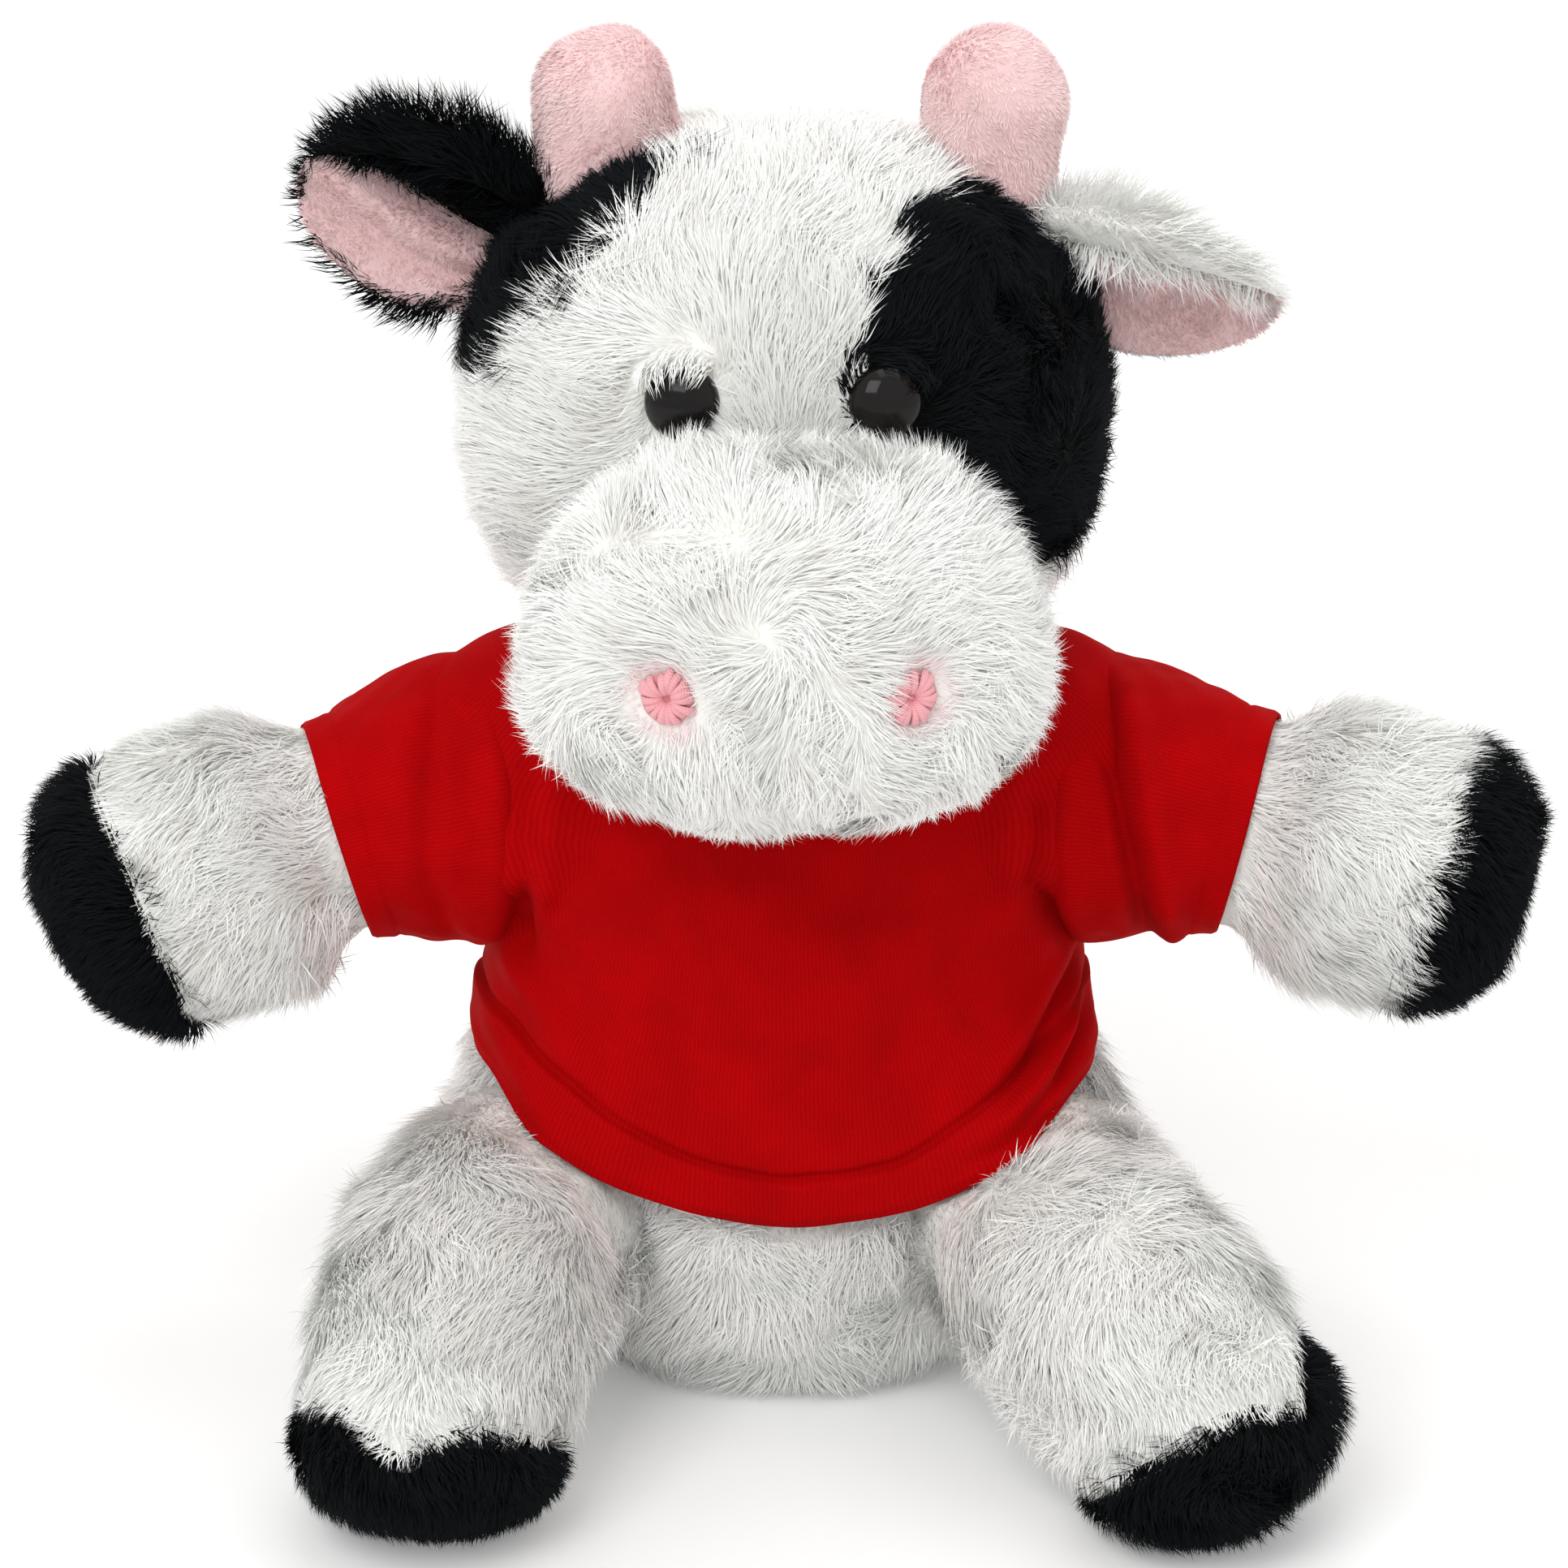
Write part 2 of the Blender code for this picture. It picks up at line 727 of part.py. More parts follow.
def muzzle_form(grow, sides=MUZZLE_SIDES, rings=MUZZLE_RINGS):
    return rounded_form(MUZZLE_CENTRE, MUZZLE_HALVES, MUZZLE_POWER, sides, rings, grow, jowls)


def front_of(centre, halves, power, x_share, z_share):
    """A point on the front of an egg shape and its outward normal there."""
    depth = (1 - abs(x_share) ** power - abs(z_share) ** power) ** (1 / power)
    unit = np.array([x_share, -depth, z_share])
    slope = np.sign(unit) * np.abs(unit) ** (power - 1) / halves
    return centre + unit * halves, slope / np.linalg.norm(slope)


# Torso and jersey

def make_torso():
    """Torso skin with its openings, stuffing and pellet bag."""
    openings = [rod(NECK, (0, 0, 1), NECK_RADIUS + OVERRUN, NECK_OPENING, INNER_BALL_SIDES)]
    for side in SIDES:
        for path, radius, hole in (
                (arm_path(side), SHOULDER_RADIUS, ARM_NECK_RADIUS - SKIN),
                (settled_leg_path(side), HIP_RADIUS, LEG_OPENING)):
            reach = radius + OVERRUN
            profile = [(0, 0), (0, hole), (reach, hole), (reach, 0)]
            openings.append(turned(straightened(path, radius), profile, INNER_BALL_SIDES))
    skin = cut(torso_solid(0), torso_solid(-SKIN, FILL_SIDES), *openings)
    add_piece("torso_skin", skin, "white_plush")

    halves = np.array([BAG_HALF_WIDTH, BAG_HALF_DEPTH, BAG_HALF_HEIGHT])
    centre = np.array([0, 0, SKIN + BAG_LIFT])
    bag = rounded_form(centre, halves, 2, FILL_SIDES, FILL_RINGS, 0)
    pocket = rounded_form(centre, halves, 2, FILL_SIDES, FILL_RINGS, FILL_GAP)
    fill = cut(torso_solid(-SKIN - FILL_GAP, FILL_SIDES), pocket)
    add_piece("torso_fill", fill, "fibre_fill")
    add_piece("seat_pellet_bag", cut(bag, below(SKIN + GAP)), "bag_cloth")


def make_jersey():
    """Front and back panels of the jersey and its rib collar."""
    reach = 4 * TORSO_HEIGHT
    seam = -SHOULDER_FORWARD
    collar_hole = rod((0, 0, TORSO_HEIGHT / 2), (0, 0, 1), TORSO_HEIGHT, COLLAR_RADIUS,
                      COLLAR_SIDES)
    armholes = []
    for side in SIDES:
        hole = ARM_NECK_RADIUS + JOINT_GAP
        root = turned(arm_path(side), [(0, 0), (0, hole), (ARM_LENGTH / 2, hole),
                                       (ARM_LENGTH / 2, 0)], ARM_HOLE_SIDES)
        turns = sorted(SIDES[side] * angle for angle in SHOULDER_RANGE)
        armholes.append(sweep_of(root, shoulder(side), (0, 1, 0), turns, 2 * SWEEP_STEP))
    shell = cut(shirt_solid(0), torso_solid(SHIRT_GAP), collar_hole, *armholes)
    front = box((-reach, -reach, -reach), (reach, seam - GAP / 2, reach))
    back = box((-reach, seam + GAP / 2, -reach), (reach, reach, reach))
    add_piece("shirt_front", within(shell, front), "red_jersey")
    add_piece("shirt_back", within(shell, back), "red_jersey")

    ring_radius = COLLAR_RADIUS - GAP - COLLAR_RIB
    rows = np.array(TORSO_ROW_SHARES)
    upper = rows[rows[:, 0] > 0.5]
    spread = upper[:, 1] * TORSO_HALF_WIDTH
    level = np.interp(ring_radius, spread[::-1], upper[::-1, 0] * TORSO_HEIGHT)
    turns = np.linspace(0, 2 * math.pi, COLLAR_RIB_SIDES, endpoint=False)
    ring = [(level + COLLAR_RIB * math.cos(angle), ring_radius + COLLAR_RIB * math.sin(angle))
            for angle in turns]
    collar = turned(straight_path((0, 0, 0), (0, 0, 1)), ring, COLLAR_SIDES)
    add_piece("shirt_neck_rib", cut(collar, torso_solid(GAP)), "red_jersey")


# Limbs

def arm_stations(side):
    """Radii along an arm: shoulder, waist under the cuff, palm and paw."""
    cuff = SLEEVE_LENGTH[side]
    return [(0.0, ARM_ROOT_RADIUS), (SHOULDER_RADIUS * ARM_SHOULDER_SHARE, ARM_ROOT_RADIUS),
            (cuff, ARM_CUFF_RADIUS), (cuff + ARM_PALM, ARM_PAW_RADIUS),
            (ARM_LENGTH - ARM_CAP, ARM_PAW_RADIUS)]


def make_arm(side, blocked):
    """Arm skin, hoof, stuffing and sleeve of one side."""
    path = arm_path(side)
    stations = arm_stations(side)
    pivot = shoulder(side)
    seat = SHOULDER_RADIUS + JOINT_GAP
    under_sleeve = SHOULDER_RADIUS + SHIRT_OUT + JOINT_GAP
    seam = ARM_LENGTH - ARM_HOOF
    neck = ARM_NECK_RADIUS
    root = ARM_ROOT_RADIUS
    edge = math.sqrt(under_sleeve ** 2 - root ** 2)
    inner_edge = math.sqrt((under_sleeve + SKIN) ** 2 - (root - SKIN) ** 2)

    skin = seat_profile(seat, neck - SKIN, neck, 2)
    skin += seat_profile(under_sleeve, neck, root, 5)
    skin += side_profile(stations, edge, seam - GAP / 2, 0)[1:]
    skin += side_profile(stations, seam - GAP / 2, inner_edge, -SKIN)
    skin += seat_profile(under_sleeve + SKIN, root - SKIN, neck - SKIN, 3)[1:]
    shell = turned(path, skin, ARM_SIDES)
    add_piece(f"arm_{side}_skin", cut(shell, blocked), "white_plush", pivot)

    outside = cap_profile(stations, ARM_LENGTH, ARM_CAP, seam + GAP / 2, 0)
    inside = cap_profile(stations, ARM_LENGTH, ARM_CAP, seam + GAP / 2, -SKIN)
    hoof = turned(path, outside[::-1] + inside, ARM_SIDES)
    add_piece(f"arm_{side}_hoof", hoof, "black_plush", pivot)

    inset = -SKIN - FILL_GAP
    fill = [(seat, 0)] + seat_profile(seat, neck + inset, neck + inset, 1)
    lining = under_sleeve + SKIN + 2 * FILL_GAP
    fill += seat_profile(lining, neck + inset, root + 2 * inset, 3)
    fill += side_profile(stations, lining, seam, inset)
    fill += cap_profile(stations, ARM_LENGTH, ARM_CAP, seam, inset)[1:]
    stuffing = turned(path, fill, ARM_SIDES // 2)
    add_piece(f"arm_{side}_fill", cut(stuffing, blocked), "fibre_fill", pivot)

    low, high = SLEEVE_EASE, SLEEVE_EASE + SLEEVE
    inner_root = math.sqrt(under_sleeve ** 2 - (root + low) ** 2)
    outer_root = math.sqrt(under_sleeve ** 2 - (root + high) ** 2)
    sleeve = side_profile(stations, outer_root, SLEEVE_LENGTH[side], high)
    sleeve += side_profile(stations, SLEEVE_LENGTH[side], inner_root, low)
    tube = turned(path, sleeve, ARM_SIDES)
    add_piece(f"sleeve_{side}", cut(tube, blocked), "red_jersey", pivot)


def leg_stations(side):
    """Radii along a leg: thigh, knee and paw."""
    return [(0.0, LEG_ROOT_RADIUS), (HIP_RADIUS, LEG_ROOT_RADIUS),
            (LEG_LENGTH[side] * LEG_KNEE_SHARE, LEG_KNEE_RADIUS),
            (LEG_LENGTH[side] - LEG_CAP, LEG_PAW_RADIUS)]


def lowest_of_leg(side, pitch):
    """Height of the lowest point of a leg's front half, where it leaves the hip at a pitch."""
    stations = leg_stations(side)
    length = LEG_LENGTH[side]
    profile = [(0, 0)] + side_profile(stations, 0, length - LEG_CAP, 0)
    profile += cap_profile(stations, length, LEG_CAP, length - LEG_CAP, 0)[1:]
    mesh = turned(leg_path(side, pitch), profile, LEG_SIDES)
    return min(vertex.co.z for vertex in mesh.vertices if vertex.co.y < -HIP_FORWARD - HIP_RADIUS)


@lru_cache
def settled_leg_path(side):
    """The leg's path at the pitch that presses the hoof onto the floor by its flat's depth."""
    low, high = LEG_PITCH_LIMITS
    for _ in range(16):
        middle = (low + high) / 2
        if lowest_of_leg(side, middle) < -FLOOR_CUT:
            low = middle
        else:
            high = middle
    return leg_path(side, high)


def make_leg(side, blocked):
    """Leg skin, cloven hoof and stuffing of one side."""
    path = settled_leg_path(side)
    stations = leg_stations(side)
    length = LEG_LENGTH[side]
    pivot = hip(side)
    seat = HIP_RADIUS + JOINT_GAP
    seam = length - LEG_HOOF
    root = LEG_ROOT_RADIUS
    edge = math.sqrt(seat ** 2 - root ** 2)

    turn = np.linspace(0, 2 * math.pi, LEG_SIDES, endpoint=False)
    notch = LEG_NOTCH * np.exp(-((np.cos(turn) / LEG_NOTCH_WIDTH_SHARE) ** 2))
    wave = LEG_SEAM_TILT * np.sin(turn) + np.where(np.sin(turn) > 0, notch, 0)
    wave -= SIDES[side] * LEG_SEAM_LEAN[side] * np.cos(turn)

    def rings(places, grow):
        """Rings from (distance, share of the seam's wave) pairs."""
        pairs = np.array(places)
        distance = pairs[:, 0:1] + pairs[:, 1:2] * wave
        around = capped_radius(stations, length, LEG_CAP, distance, grow)
        return rings_on(path, distance, around, LEG_SIDES)

    inner_edge = math.sqrt(seat ** 2 - (root - SKIN) ** 2)
    outer = [(place, 0) for place, _ in side_profile(stations, edge, seam - LEG_HOOF / 2, 0)]
    inner = [(place, 0) for place, _ in side_profile(stations, seam - LEG_HOOF / 2, inner_edge, 0)]
    edging = [(seam - GAP / 2 - LEG_HOOF * (1 - share) / 2, share) for share in (0.5, 0.75, 1)]
    loop = np.concatenate([rings([*outer, *edging], 0), rings([*edging[::-1], *inner], -SKIN)])
    shell = mesh_of(loop.reshape(-1, 3), grid_faces(len(loop), LEG_SIDES, True))
    add_piece(f"leg_{side}_skin", cut(shell, blocked, below(0)), "white_plush", pivot)

    def sole(grow):
        """Rings of the hoof from its seam towards its tip, one side of its skin."""
        places = cap_places(length, LEG_CAP, seam + GAP / 2, grow)[:-1]
        fade = np.linspace(1, 0, len(places) + 1)[:-1]
        return rings(list(zip(places, fade)), grow)

    tips = [path(np.array([length + grow]))[0][0] for grow in (0, -SKIN)]
    hoof = np.concatenate([sole(0)[::-1], sole(-SKIN)])
    shell = mesh_of(*capped_grid(hoof, *tips))
    add_piece(f"leg_{side}_hoof", cut(shell, below(0)), "black_plush", pivot)

    inset = -SKIN - FILL_GAP
    start = seat / 2
    fill = [(start, 0)] + side_profile(stations, start, length - LEG_CAP, inset)
    fill += cap_profile(stations, length, LEG_CAP, length - LEG_CAP, inset)[1:]
    stuffing = turned(path, fill, LEG_SIDES // 2)
    fill = cut(stuffing, ball(pivot, seat), blocked, below(SKIN + FILL_GAP))
    add_piece(f"leg_{side}_fill", fill, "fibre_fill", pivot)


# Head

def make_eye(side):
    """A safety eye, its washer, and the hole and pocket that they need."""
    spot, normal = front_of(HEAD_CENTRE, HEAD_HALVES, HEAD_POWER,
                            SIDES[side] * EYE_PLACE_SHARES[0], EYE_PLACE_SHARES[1])
    path = straight_path(spot + normal * GAP, normal)
    dome = [(EYE_RIM + EYE_DOME * math.sin(angle), EYE_RADIUS * math.cos(angle))
            for angle in np.linspace(0, math.pi / 2, 5)]
    dome[-1] = (EYE_RIM + EYE_DOME, 0)
    profile = [(-EYE_SHANK, 0), (-EYE_SHANK, EYE_SHANK_RADIUS), (0, EYE_SHANK_RADIUS),
               (0, EYE_RADIUS)] + dome
    eye = turned(path, profile, EYE_SIDES)
    back = -SKIN - WASHER_INSET
    bore = EYE_SHANK_RADIUS + GAP
    washer = turned(path, [(back, bore), (back, WASHER_RADIUS), (back - WASHER, WASHER_RADIUS),
                           (back - WASHER, bore)], EYE_SIDES)
    hole = rod(spot - normal * OVERRUN / 2, normal, OVERRUN, bore, EYE_SIDES)
    pocket = rod(spot - normal * (EYE_SHANK + FILL_GAP), normal, OVERRUN,
                 WASHER_RADIUS + FILL_GAP, EYE_SIDES)
    return eye, washer, hole, pocket


def make_head(blocked):
    """Head skin with its black patches, muzzle, stuffing, eyes and nostrils."""
    socket = ball(NECK, NECK_RADIUS + JOINT_GAP)
    eyes = {side: make_eye(side) for side in SIDES}
    holes = [eyes[side][2] for side in SIDES]
    shell = cut(head_form(0), head_form(-SKIN), muzzle_form(-SKIN), socket, blocked, *holes)

    def patch_region(spread, forward, lift, radii, grow):
        centre = HEAD_CENTRE + np.array([spread, forward, lift])
        return rounded_form(centre, np.array(radii), 2, HEAD_SIDES, HEAD_RINGS, grow)

    eye_region = (EYE_PATCH_SPREAD, -EYE_PATCH_FORWARD + HEAD_FORWARD, EYE_PATCH_LIFT,
                  EYE_PATCH_RADII)
    crown_region = (-CROWN_PATCH_SPREAD, 0, CROWN_PATCH_LIFT, CROWN_PATCH_RADII)
    skin = cut(shell, patch_region(*eye_region, GAP / 2), patch_region(*crown_region, GAP / 2))
    add_piece("head_skin", skin, "white_plush", NECK)
    patch = within(shell, patch_region(*eye_region, -GAP / 2))
    add_piece("eye_patch", patch, "black_plush", NECK)
    patch = within(shell, patch_region(*crown_region, -GAP / 2))
    add_piece("crown_patch", patch, "black_plush", NECK)

    hollow = muzzle_form(-SKIN, FILL_SIDES, FILL_RINGS)
    muzzle = cut(muzzle_form(0), hollow, head_form(GAP), blocked)
    add_piece("muzzle_skin", muzzle, "white_plush", NECK)
    inset = -SKIN - FILL_GAP
    fill = united([head_form(inset - GAP, FILL_SIDES, FILL_RINGS),
                   muzzle_form(inset, FILL_SIDES, FILL_RINGS)])
    pockets = [eyes[side][3] for side in SIDES]
    add_piece("head_fill", cut(fill, socket, blocked, *pockets), "fibre_fill", NECK)
    for side in SIDES:
        add_piece(f"eye_{side}", eyes[side][0], "gloss_brown", NECK)
        add_piece(f"eye_washer_{side}", eyes[side][1], "washer_plastic", NECK)
        x_share = SIDES[side] * NOSTRIL_SPREAD_SHARE[side]
        spot, normal = front_of(MUZZLE_CENTRE, MUZZLE_HALVES, MUZZLE_POWER, x_share,
                                NOSTRIL_RISE_SHARE)
        path = straight_path(spot + normal * GAP, normal)
        round_edge = NOSTRIL / 2
        ring = [(0, NOSTRIL_HOLE), (0, NOSTRIL_RADIUS), (round_edge, NOSTRIL_RADIUS),
                (NOSTRIL, NOSTRIL_RADIUS - round_edge), (NOSTRIL, NOSTRIL_HOLE + round_edge),
                (round_edge, NOSTRIL_HOLE)]
        eyelet = turned(path, ring, NOSTRIL_SIDES)
        add_piece(f"nostril_{side}", eyelet, "pink_thread", NECK)


def horn_form(side, grow, root, sides):
    """A stubby round-ended horn on the crown, its root some way inside the head."""
    sign = SIDES[side]
    x_share = HORN_PLACE_SHARE[side]
    rise = (1 - x_share ** HEAD_POWER) ** (1 / HEAD_POWER)
    spot = HEAD_CENTRE + np.array([sign * x_share, 0, rise]) * HEAD_HALVES
    lean = math.radians(HORN_LEAN[side])
    path = straight_path(spot, (sign * math.sin(lean), 0, math.cos(lean)))
    radius = HORN_RADIUS + grow
    neck = HORN_HEIGHT - HORN_RADIUS
    profile = [(-root, 0), (-root, radius)]
    profile += [(neck + radius * math.sin(angle), radius * math.cos(angle))
                for angle in np.linspace(0, math.pi / 2, 7)[:-1]]
    return turned(path, profile + [(HORN_HEIGHT + grow, 0)], sides)


def make_horn(side):
    """The horn's minky cover and its stuffing."""
    hollow = horn_form(side, -HORN_CLOTH, 2 * HORN_ROOT, HORN_SIDES)
    cover = cut(horn_form(side, 0, HORN_ROOT, HORN_SIDES), hollow, head_form(GAP))
    add_piece(f"horn_{side}", cover, "pink_minky", NECK)
    fill = horn_form(side, -HORN_CLOTH - FILL_GAP, HORN_ROOT, HORN_SIDES // 2)
    add_piece(f"horn_{side}_fill", cut(fill, head_form(GAP)), "fibre_fill", NECK)


def thick_sheet(grid, low, high):
    """A sheet of even thickness between two offsets from a grid of points."""
    along = np.gradient(grid, axis=0)
    across = np.gradient(grid, axis=1)
    normal = np.cross(along, across)
    normal /= np.linalg.norm(normal, axis=-1, keepdims=True)
    rows, columns = grid.shape[:2]
    points = np.concatenate([(grid + normal * low).reshape(-1, 3),
                             (grid + normal * high).reshape(-1, 3)])
    faces = []
    layer = rows * columns
    for row in range(rows - 1):
        for column in range(columns - 1):
            first = row * columns + column
            quad = (first, first + 1, first + columns + 1, first + columns)
            faces.append(quad)
            faces.append(tuple(layer + index for index in reversed(quad)))
    rim = [(0, column) for column in range(columns)]
    rim += [(row, columns - 1) for row in range(1, rows)]
    rim += [(rows - 1, column) for column in range(columns - 2, -1, -1)]
    rim += [(row, 0) for row in range(rows - 2, 0, -1)]
    ring = [row * columns + column for row, column in rim]
    for index, here in enumerate(ring):
        beside = ring[(index + 1) % len(ring)]
        faces.append((here, layer + here, layer + beside, beside))
    return mesh_of(points, faces)


def ear_root(side):
    """The middle of the ear's seam on the side of the head."""
    z_share = EAR_HEIGHT_SHARE
    x_share = SIDES[side] * (1 - z_share ** HEAD_POWER) ** (1 / HEAD_POWER)
    return HEAD_CENTRE + np.array([x_share, 0, z_share]) * HEAD_HALVES


def make_ear(side):
    """The plush back and the lining of an ear, a leaf bent into a cup."""
    sign = SIDES[side]
    root = ear_root(side)
    rise = math.radians(EAR_RISE[side])
    face = math.radians(EAR_FACE[side])
    out = np.array([sign * math.cos(rise), 0, math.sin(rise)])
    front = np.array([0, -math.cos(face), math.sin(face)])
    front -= out * front.dot(out)
    front /= np.linalg.norm(front)
    across = np.cross(front, out) * sign

    def leaf(size_share):
        reach = EAR_LENGTH[side] * (1 + size_share) / 2
        share = np.linspace(0, EAR_TIP_SHARE, EAR_STEPS)[:, None]
        over = np.linspace(-1, 1, EAR_STEPS)[None, :]
        opened = np.sin(np.minimum(1, share / EAR_SWELL_SHARE) * math.pi / 2)
        swell = EAR_ROOT_SHARE + (1 - EAR_ROOT_SHARE) * opened
        half = EAR_HALF_HEIGHT * size_share * swell * np.sqrt(1 - share ** 3)
        bend = math.radians(EAR_CUP)
        width = half * np.sin(bend * over) / bend
        depth = half * (1 - np.cos(bend * over)) / bend
        length = -EAR_ROOT + (reach + EAR_ROOT) * share
        return (root + out * length[..., None] + across * width[..., None]
                + front * depth[..., None])

    horn = horn_form(side, JOINT_GAP, HORN_ROOT, HORN_SIDES)
    turns = sorted(-sign * angle for angle in EAR_RANGE)
    blocked = sweep_of(united([head_form(JOINT_GAP), horn]), root, (0, 1, 0), turns, 2 * SWEEP_STEP)
    plush = "black_plush" if side == "right" else "white_plush"
    back = thick_sheet(leaf(1), 0, -sign * EAR_BACK)
    lining = thick_sheet(leaf(EAR_LINING_SHARE), sign * GAP, sign * (GAP + EAR_LINING))
    add_piece(f"ear_{side}_back", cut(back, blocked), plush, root)
    add_piece(f"ear_{side}_lining", cut(lining, blocked), "pink_minky", root)


# Tail

def make_tail(torso):
    """A short plush tail with a tuft, hanging behind the seat."""
    share = TAIL_HEIGHT / TORSO_HEIGHT
    rows = np.array(TORSO_ROW_SHARES)
    depth = np.interp(share, rows[:, 0], rows[:, 2]) * TORSO_HALF_DEPTH
    root = (0, depth, TAIL_HEIGHT)
    inside = TAIL_RADIUS * 2
    start = (0, depth - inside, TAIL_HEIGHT)
    length = TAIL_LENGTH + inside
    headings = (90, 90 - TAIL_TURN)
    path = bent_path(start, headings, (TAIL_START_PITCH, TAIL_END_PITCH), length, inside)
    cord = [(0, 0), (0, TAIL_RADIUS)]
    cord += [(length * part, TAIL_RADIUS + (TAIL_TIP_RADIUS - TAIL_RADIUS) * part)
             for part in np.linspace(0, 1, TAIL_STEPS)[1:]]
    cord.append((length, 0))
    blocked = sweep_of(torso, root, (0, 0, 1), TAIL_RANGE)
    shell = cut(turned(path, cord, TAIL_SIDES), blocked)
    add_piece("tail_cord", shell, "white_plush", root)

    tuft = [(length + GAP, 0)]
    for part in np.linspace(0, 1, TAIL_STEPS)[1:-1]:
        swell = math.sin(math.pi * part ** TUFT_SKEW) ** TUFT_BLUNTNESS
        tuft.append((length + GAP + TUFT_LENGTH * part, TUFT_RADIUS * swell))
    tuft.append((length + GAP + TUFT_LENGTH, 0))
    add_piece("tail_tuft", turned(path, tuft, TAIL_SIDES), "black_plush", root)


def main():
    for item in list(bpy.data.objects):
        bpy.data.objects.remove(item)
    make_torso()
    make_jersey()
    trunk = torso_form(SHIRT_OUT + GAP)
    jersey = cut(torso_form(SHIRT_OUT + JOINT_GAP), below_hem(JOINT_GAP))
    dressed = united([torso_form(GAP), jersey])
    for side in SIDES:
        sign = SIDES[side]
        turns = sorted(-sign * angle for angle in SHOULDER_RANGE)
        make_arm(side, sweep_of(trunk, shoulder(side), (0, 1, 0), turns))
        turns = sorted(sign * angle for angle in HIP_RANGE)
        make_leg(side, sweep_of(dressed, hip(side), (0, 0, 1), turns))
    shoulders = [ball(shoulder(side), SHOULDER_RADIUS + SHIRT_OUT + GAP) for side in SIDES]
    below_head = united([trunk, *shoulders])
    make_head(sweep_of(below_head, NECK, (1, 0, 0), NOD_RANGE))
    for side in SIDES:
        make_horn(side)
        make_ear(side)
    make_tail(torso_solid(JOINT_GAP))


main()
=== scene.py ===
import json

import bpy
import numpy as np
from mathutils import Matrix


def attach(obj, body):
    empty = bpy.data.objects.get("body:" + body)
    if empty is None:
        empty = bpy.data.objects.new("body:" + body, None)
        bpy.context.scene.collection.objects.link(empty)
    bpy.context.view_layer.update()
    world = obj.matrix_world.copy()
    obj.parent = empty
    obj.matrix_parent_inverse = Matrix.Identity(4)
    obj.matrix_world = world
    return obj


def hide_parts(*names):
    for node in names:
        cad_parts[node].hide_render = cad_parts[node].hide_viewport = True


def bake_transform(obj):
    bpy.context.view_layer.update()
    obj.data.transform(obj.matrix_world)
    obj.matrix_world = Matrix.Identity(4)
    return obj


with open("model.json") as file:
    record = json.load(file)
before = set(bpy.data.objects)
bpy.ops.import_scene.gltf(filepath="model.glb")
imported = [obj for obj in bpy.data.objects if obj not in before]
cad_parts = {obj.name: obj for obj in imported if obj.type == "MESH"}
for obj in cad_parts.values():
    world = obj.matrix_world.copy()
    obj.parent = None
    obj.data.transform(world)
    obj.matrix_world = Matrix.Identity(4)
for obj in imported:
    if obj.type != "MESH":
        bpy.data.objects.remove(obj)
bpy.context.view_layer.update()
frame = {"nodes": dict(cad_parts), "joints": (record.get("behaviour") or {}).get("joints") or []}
print("frame loaded:", len(frame["nodes"]), "nodes")

# Shapes are worked out in millimetres and become metres as their meshes are made.
# The cow faces -Y. Its left side is at +X.
mm = 0.001
pivots = {joint["name"]: np.array(joint["pos_m"]) / mm for joint in frame["joints"]}
sides = {"left": 1, "right": -1}


# Numbers and vectors

def unit(vectors):
    return vectors / (np.linalg.norm(vectors, axis=-1, keepdims=True) + 1e-12)


def lengthOf(vectors):
    return np.linalg.norm(vectors, axis=-1)


def dot(first, second):
    return (first * second).sum(axis=-1, keepdims=True)


def ease(values, low, high):
    # 0 below low, 1 above high, an S between them
    share = np.clip((values - low) / (high - low), 0, 1)
    return share * share * (3 - 2 * share)


def waves(points, size, seed, count=7):
    # soft noise of about -1 to 1: plane waves of mixed directions, lengths near the size in mm
    rng = np.random.default_rng(seed)
    push = unit(rng.normal(size=(count, 3))) * (2 * np.pi / size * rng.uniform(0.55, 1.35, (count, 1)))
    phase = rng.uniform(0, 2 * np.pi, count)
    return np.sin(points @ push.T + phase).sum(axis=-1) / np.sqrt(count)


def wander(points, size, seed):
    # the same noise as a direction
    return np.stack([waves(points, size, seed + part) for part in range(3)], axis=-1)


def turns(count):
    # angles round a full circle, in radians
    return np.linspace(0, 2 * np.pi, count, endpoint=False)


def smooth(values, reach, mode):
    # mean under a bell curve that reaches this many samples to each side
    bell = np.exp(-np.linspace(-2, 2, 2 * reach + 1) ** 2)
    return np.convolve(np.pad(values, reach, mode=mode), bell / bell.sum(), mode="valid")


# Meshes

def gridNormals(rings, closed=True):
    # cross product of the differences along the columns and the rows, facing away from the middle
    if closed:
        across = np.roll(rings, -1, axis=1) - np.roll(rings, 1, axis=1)
    else:
        across = np.gradient(rings, axis=1)
    along = np.gradient(rings, axis=0)
    normals = np.cross(across, along)
    length = np.linalg.norm(normals, axis=-1, keepdims=True)
    for end, inner in ((0, 1), (-1, -2)):
        if length[end].max() < 1e-6:
            normals[end] = unit(unit(normals[inner]).sum(axis=0))
    normals = unit(normals)
    outward = dot(normals, rings - rings.reshape(-1, 3).mean(axis=0)).sum()
    return normals if outward > 0 else -normals


def gridQuads(rows, columns, closed=True):
    row = np.arange(rows - 1)[:, None] * columns
    column = np.arange(columns if closed else columns - 1)[None, :]
    beside = (column + 1) % columns
    quads = np.stack([row + column, row + beside, row + columns + beside, row + columns + column], -1)
    return quads.reshape(-1, 4)


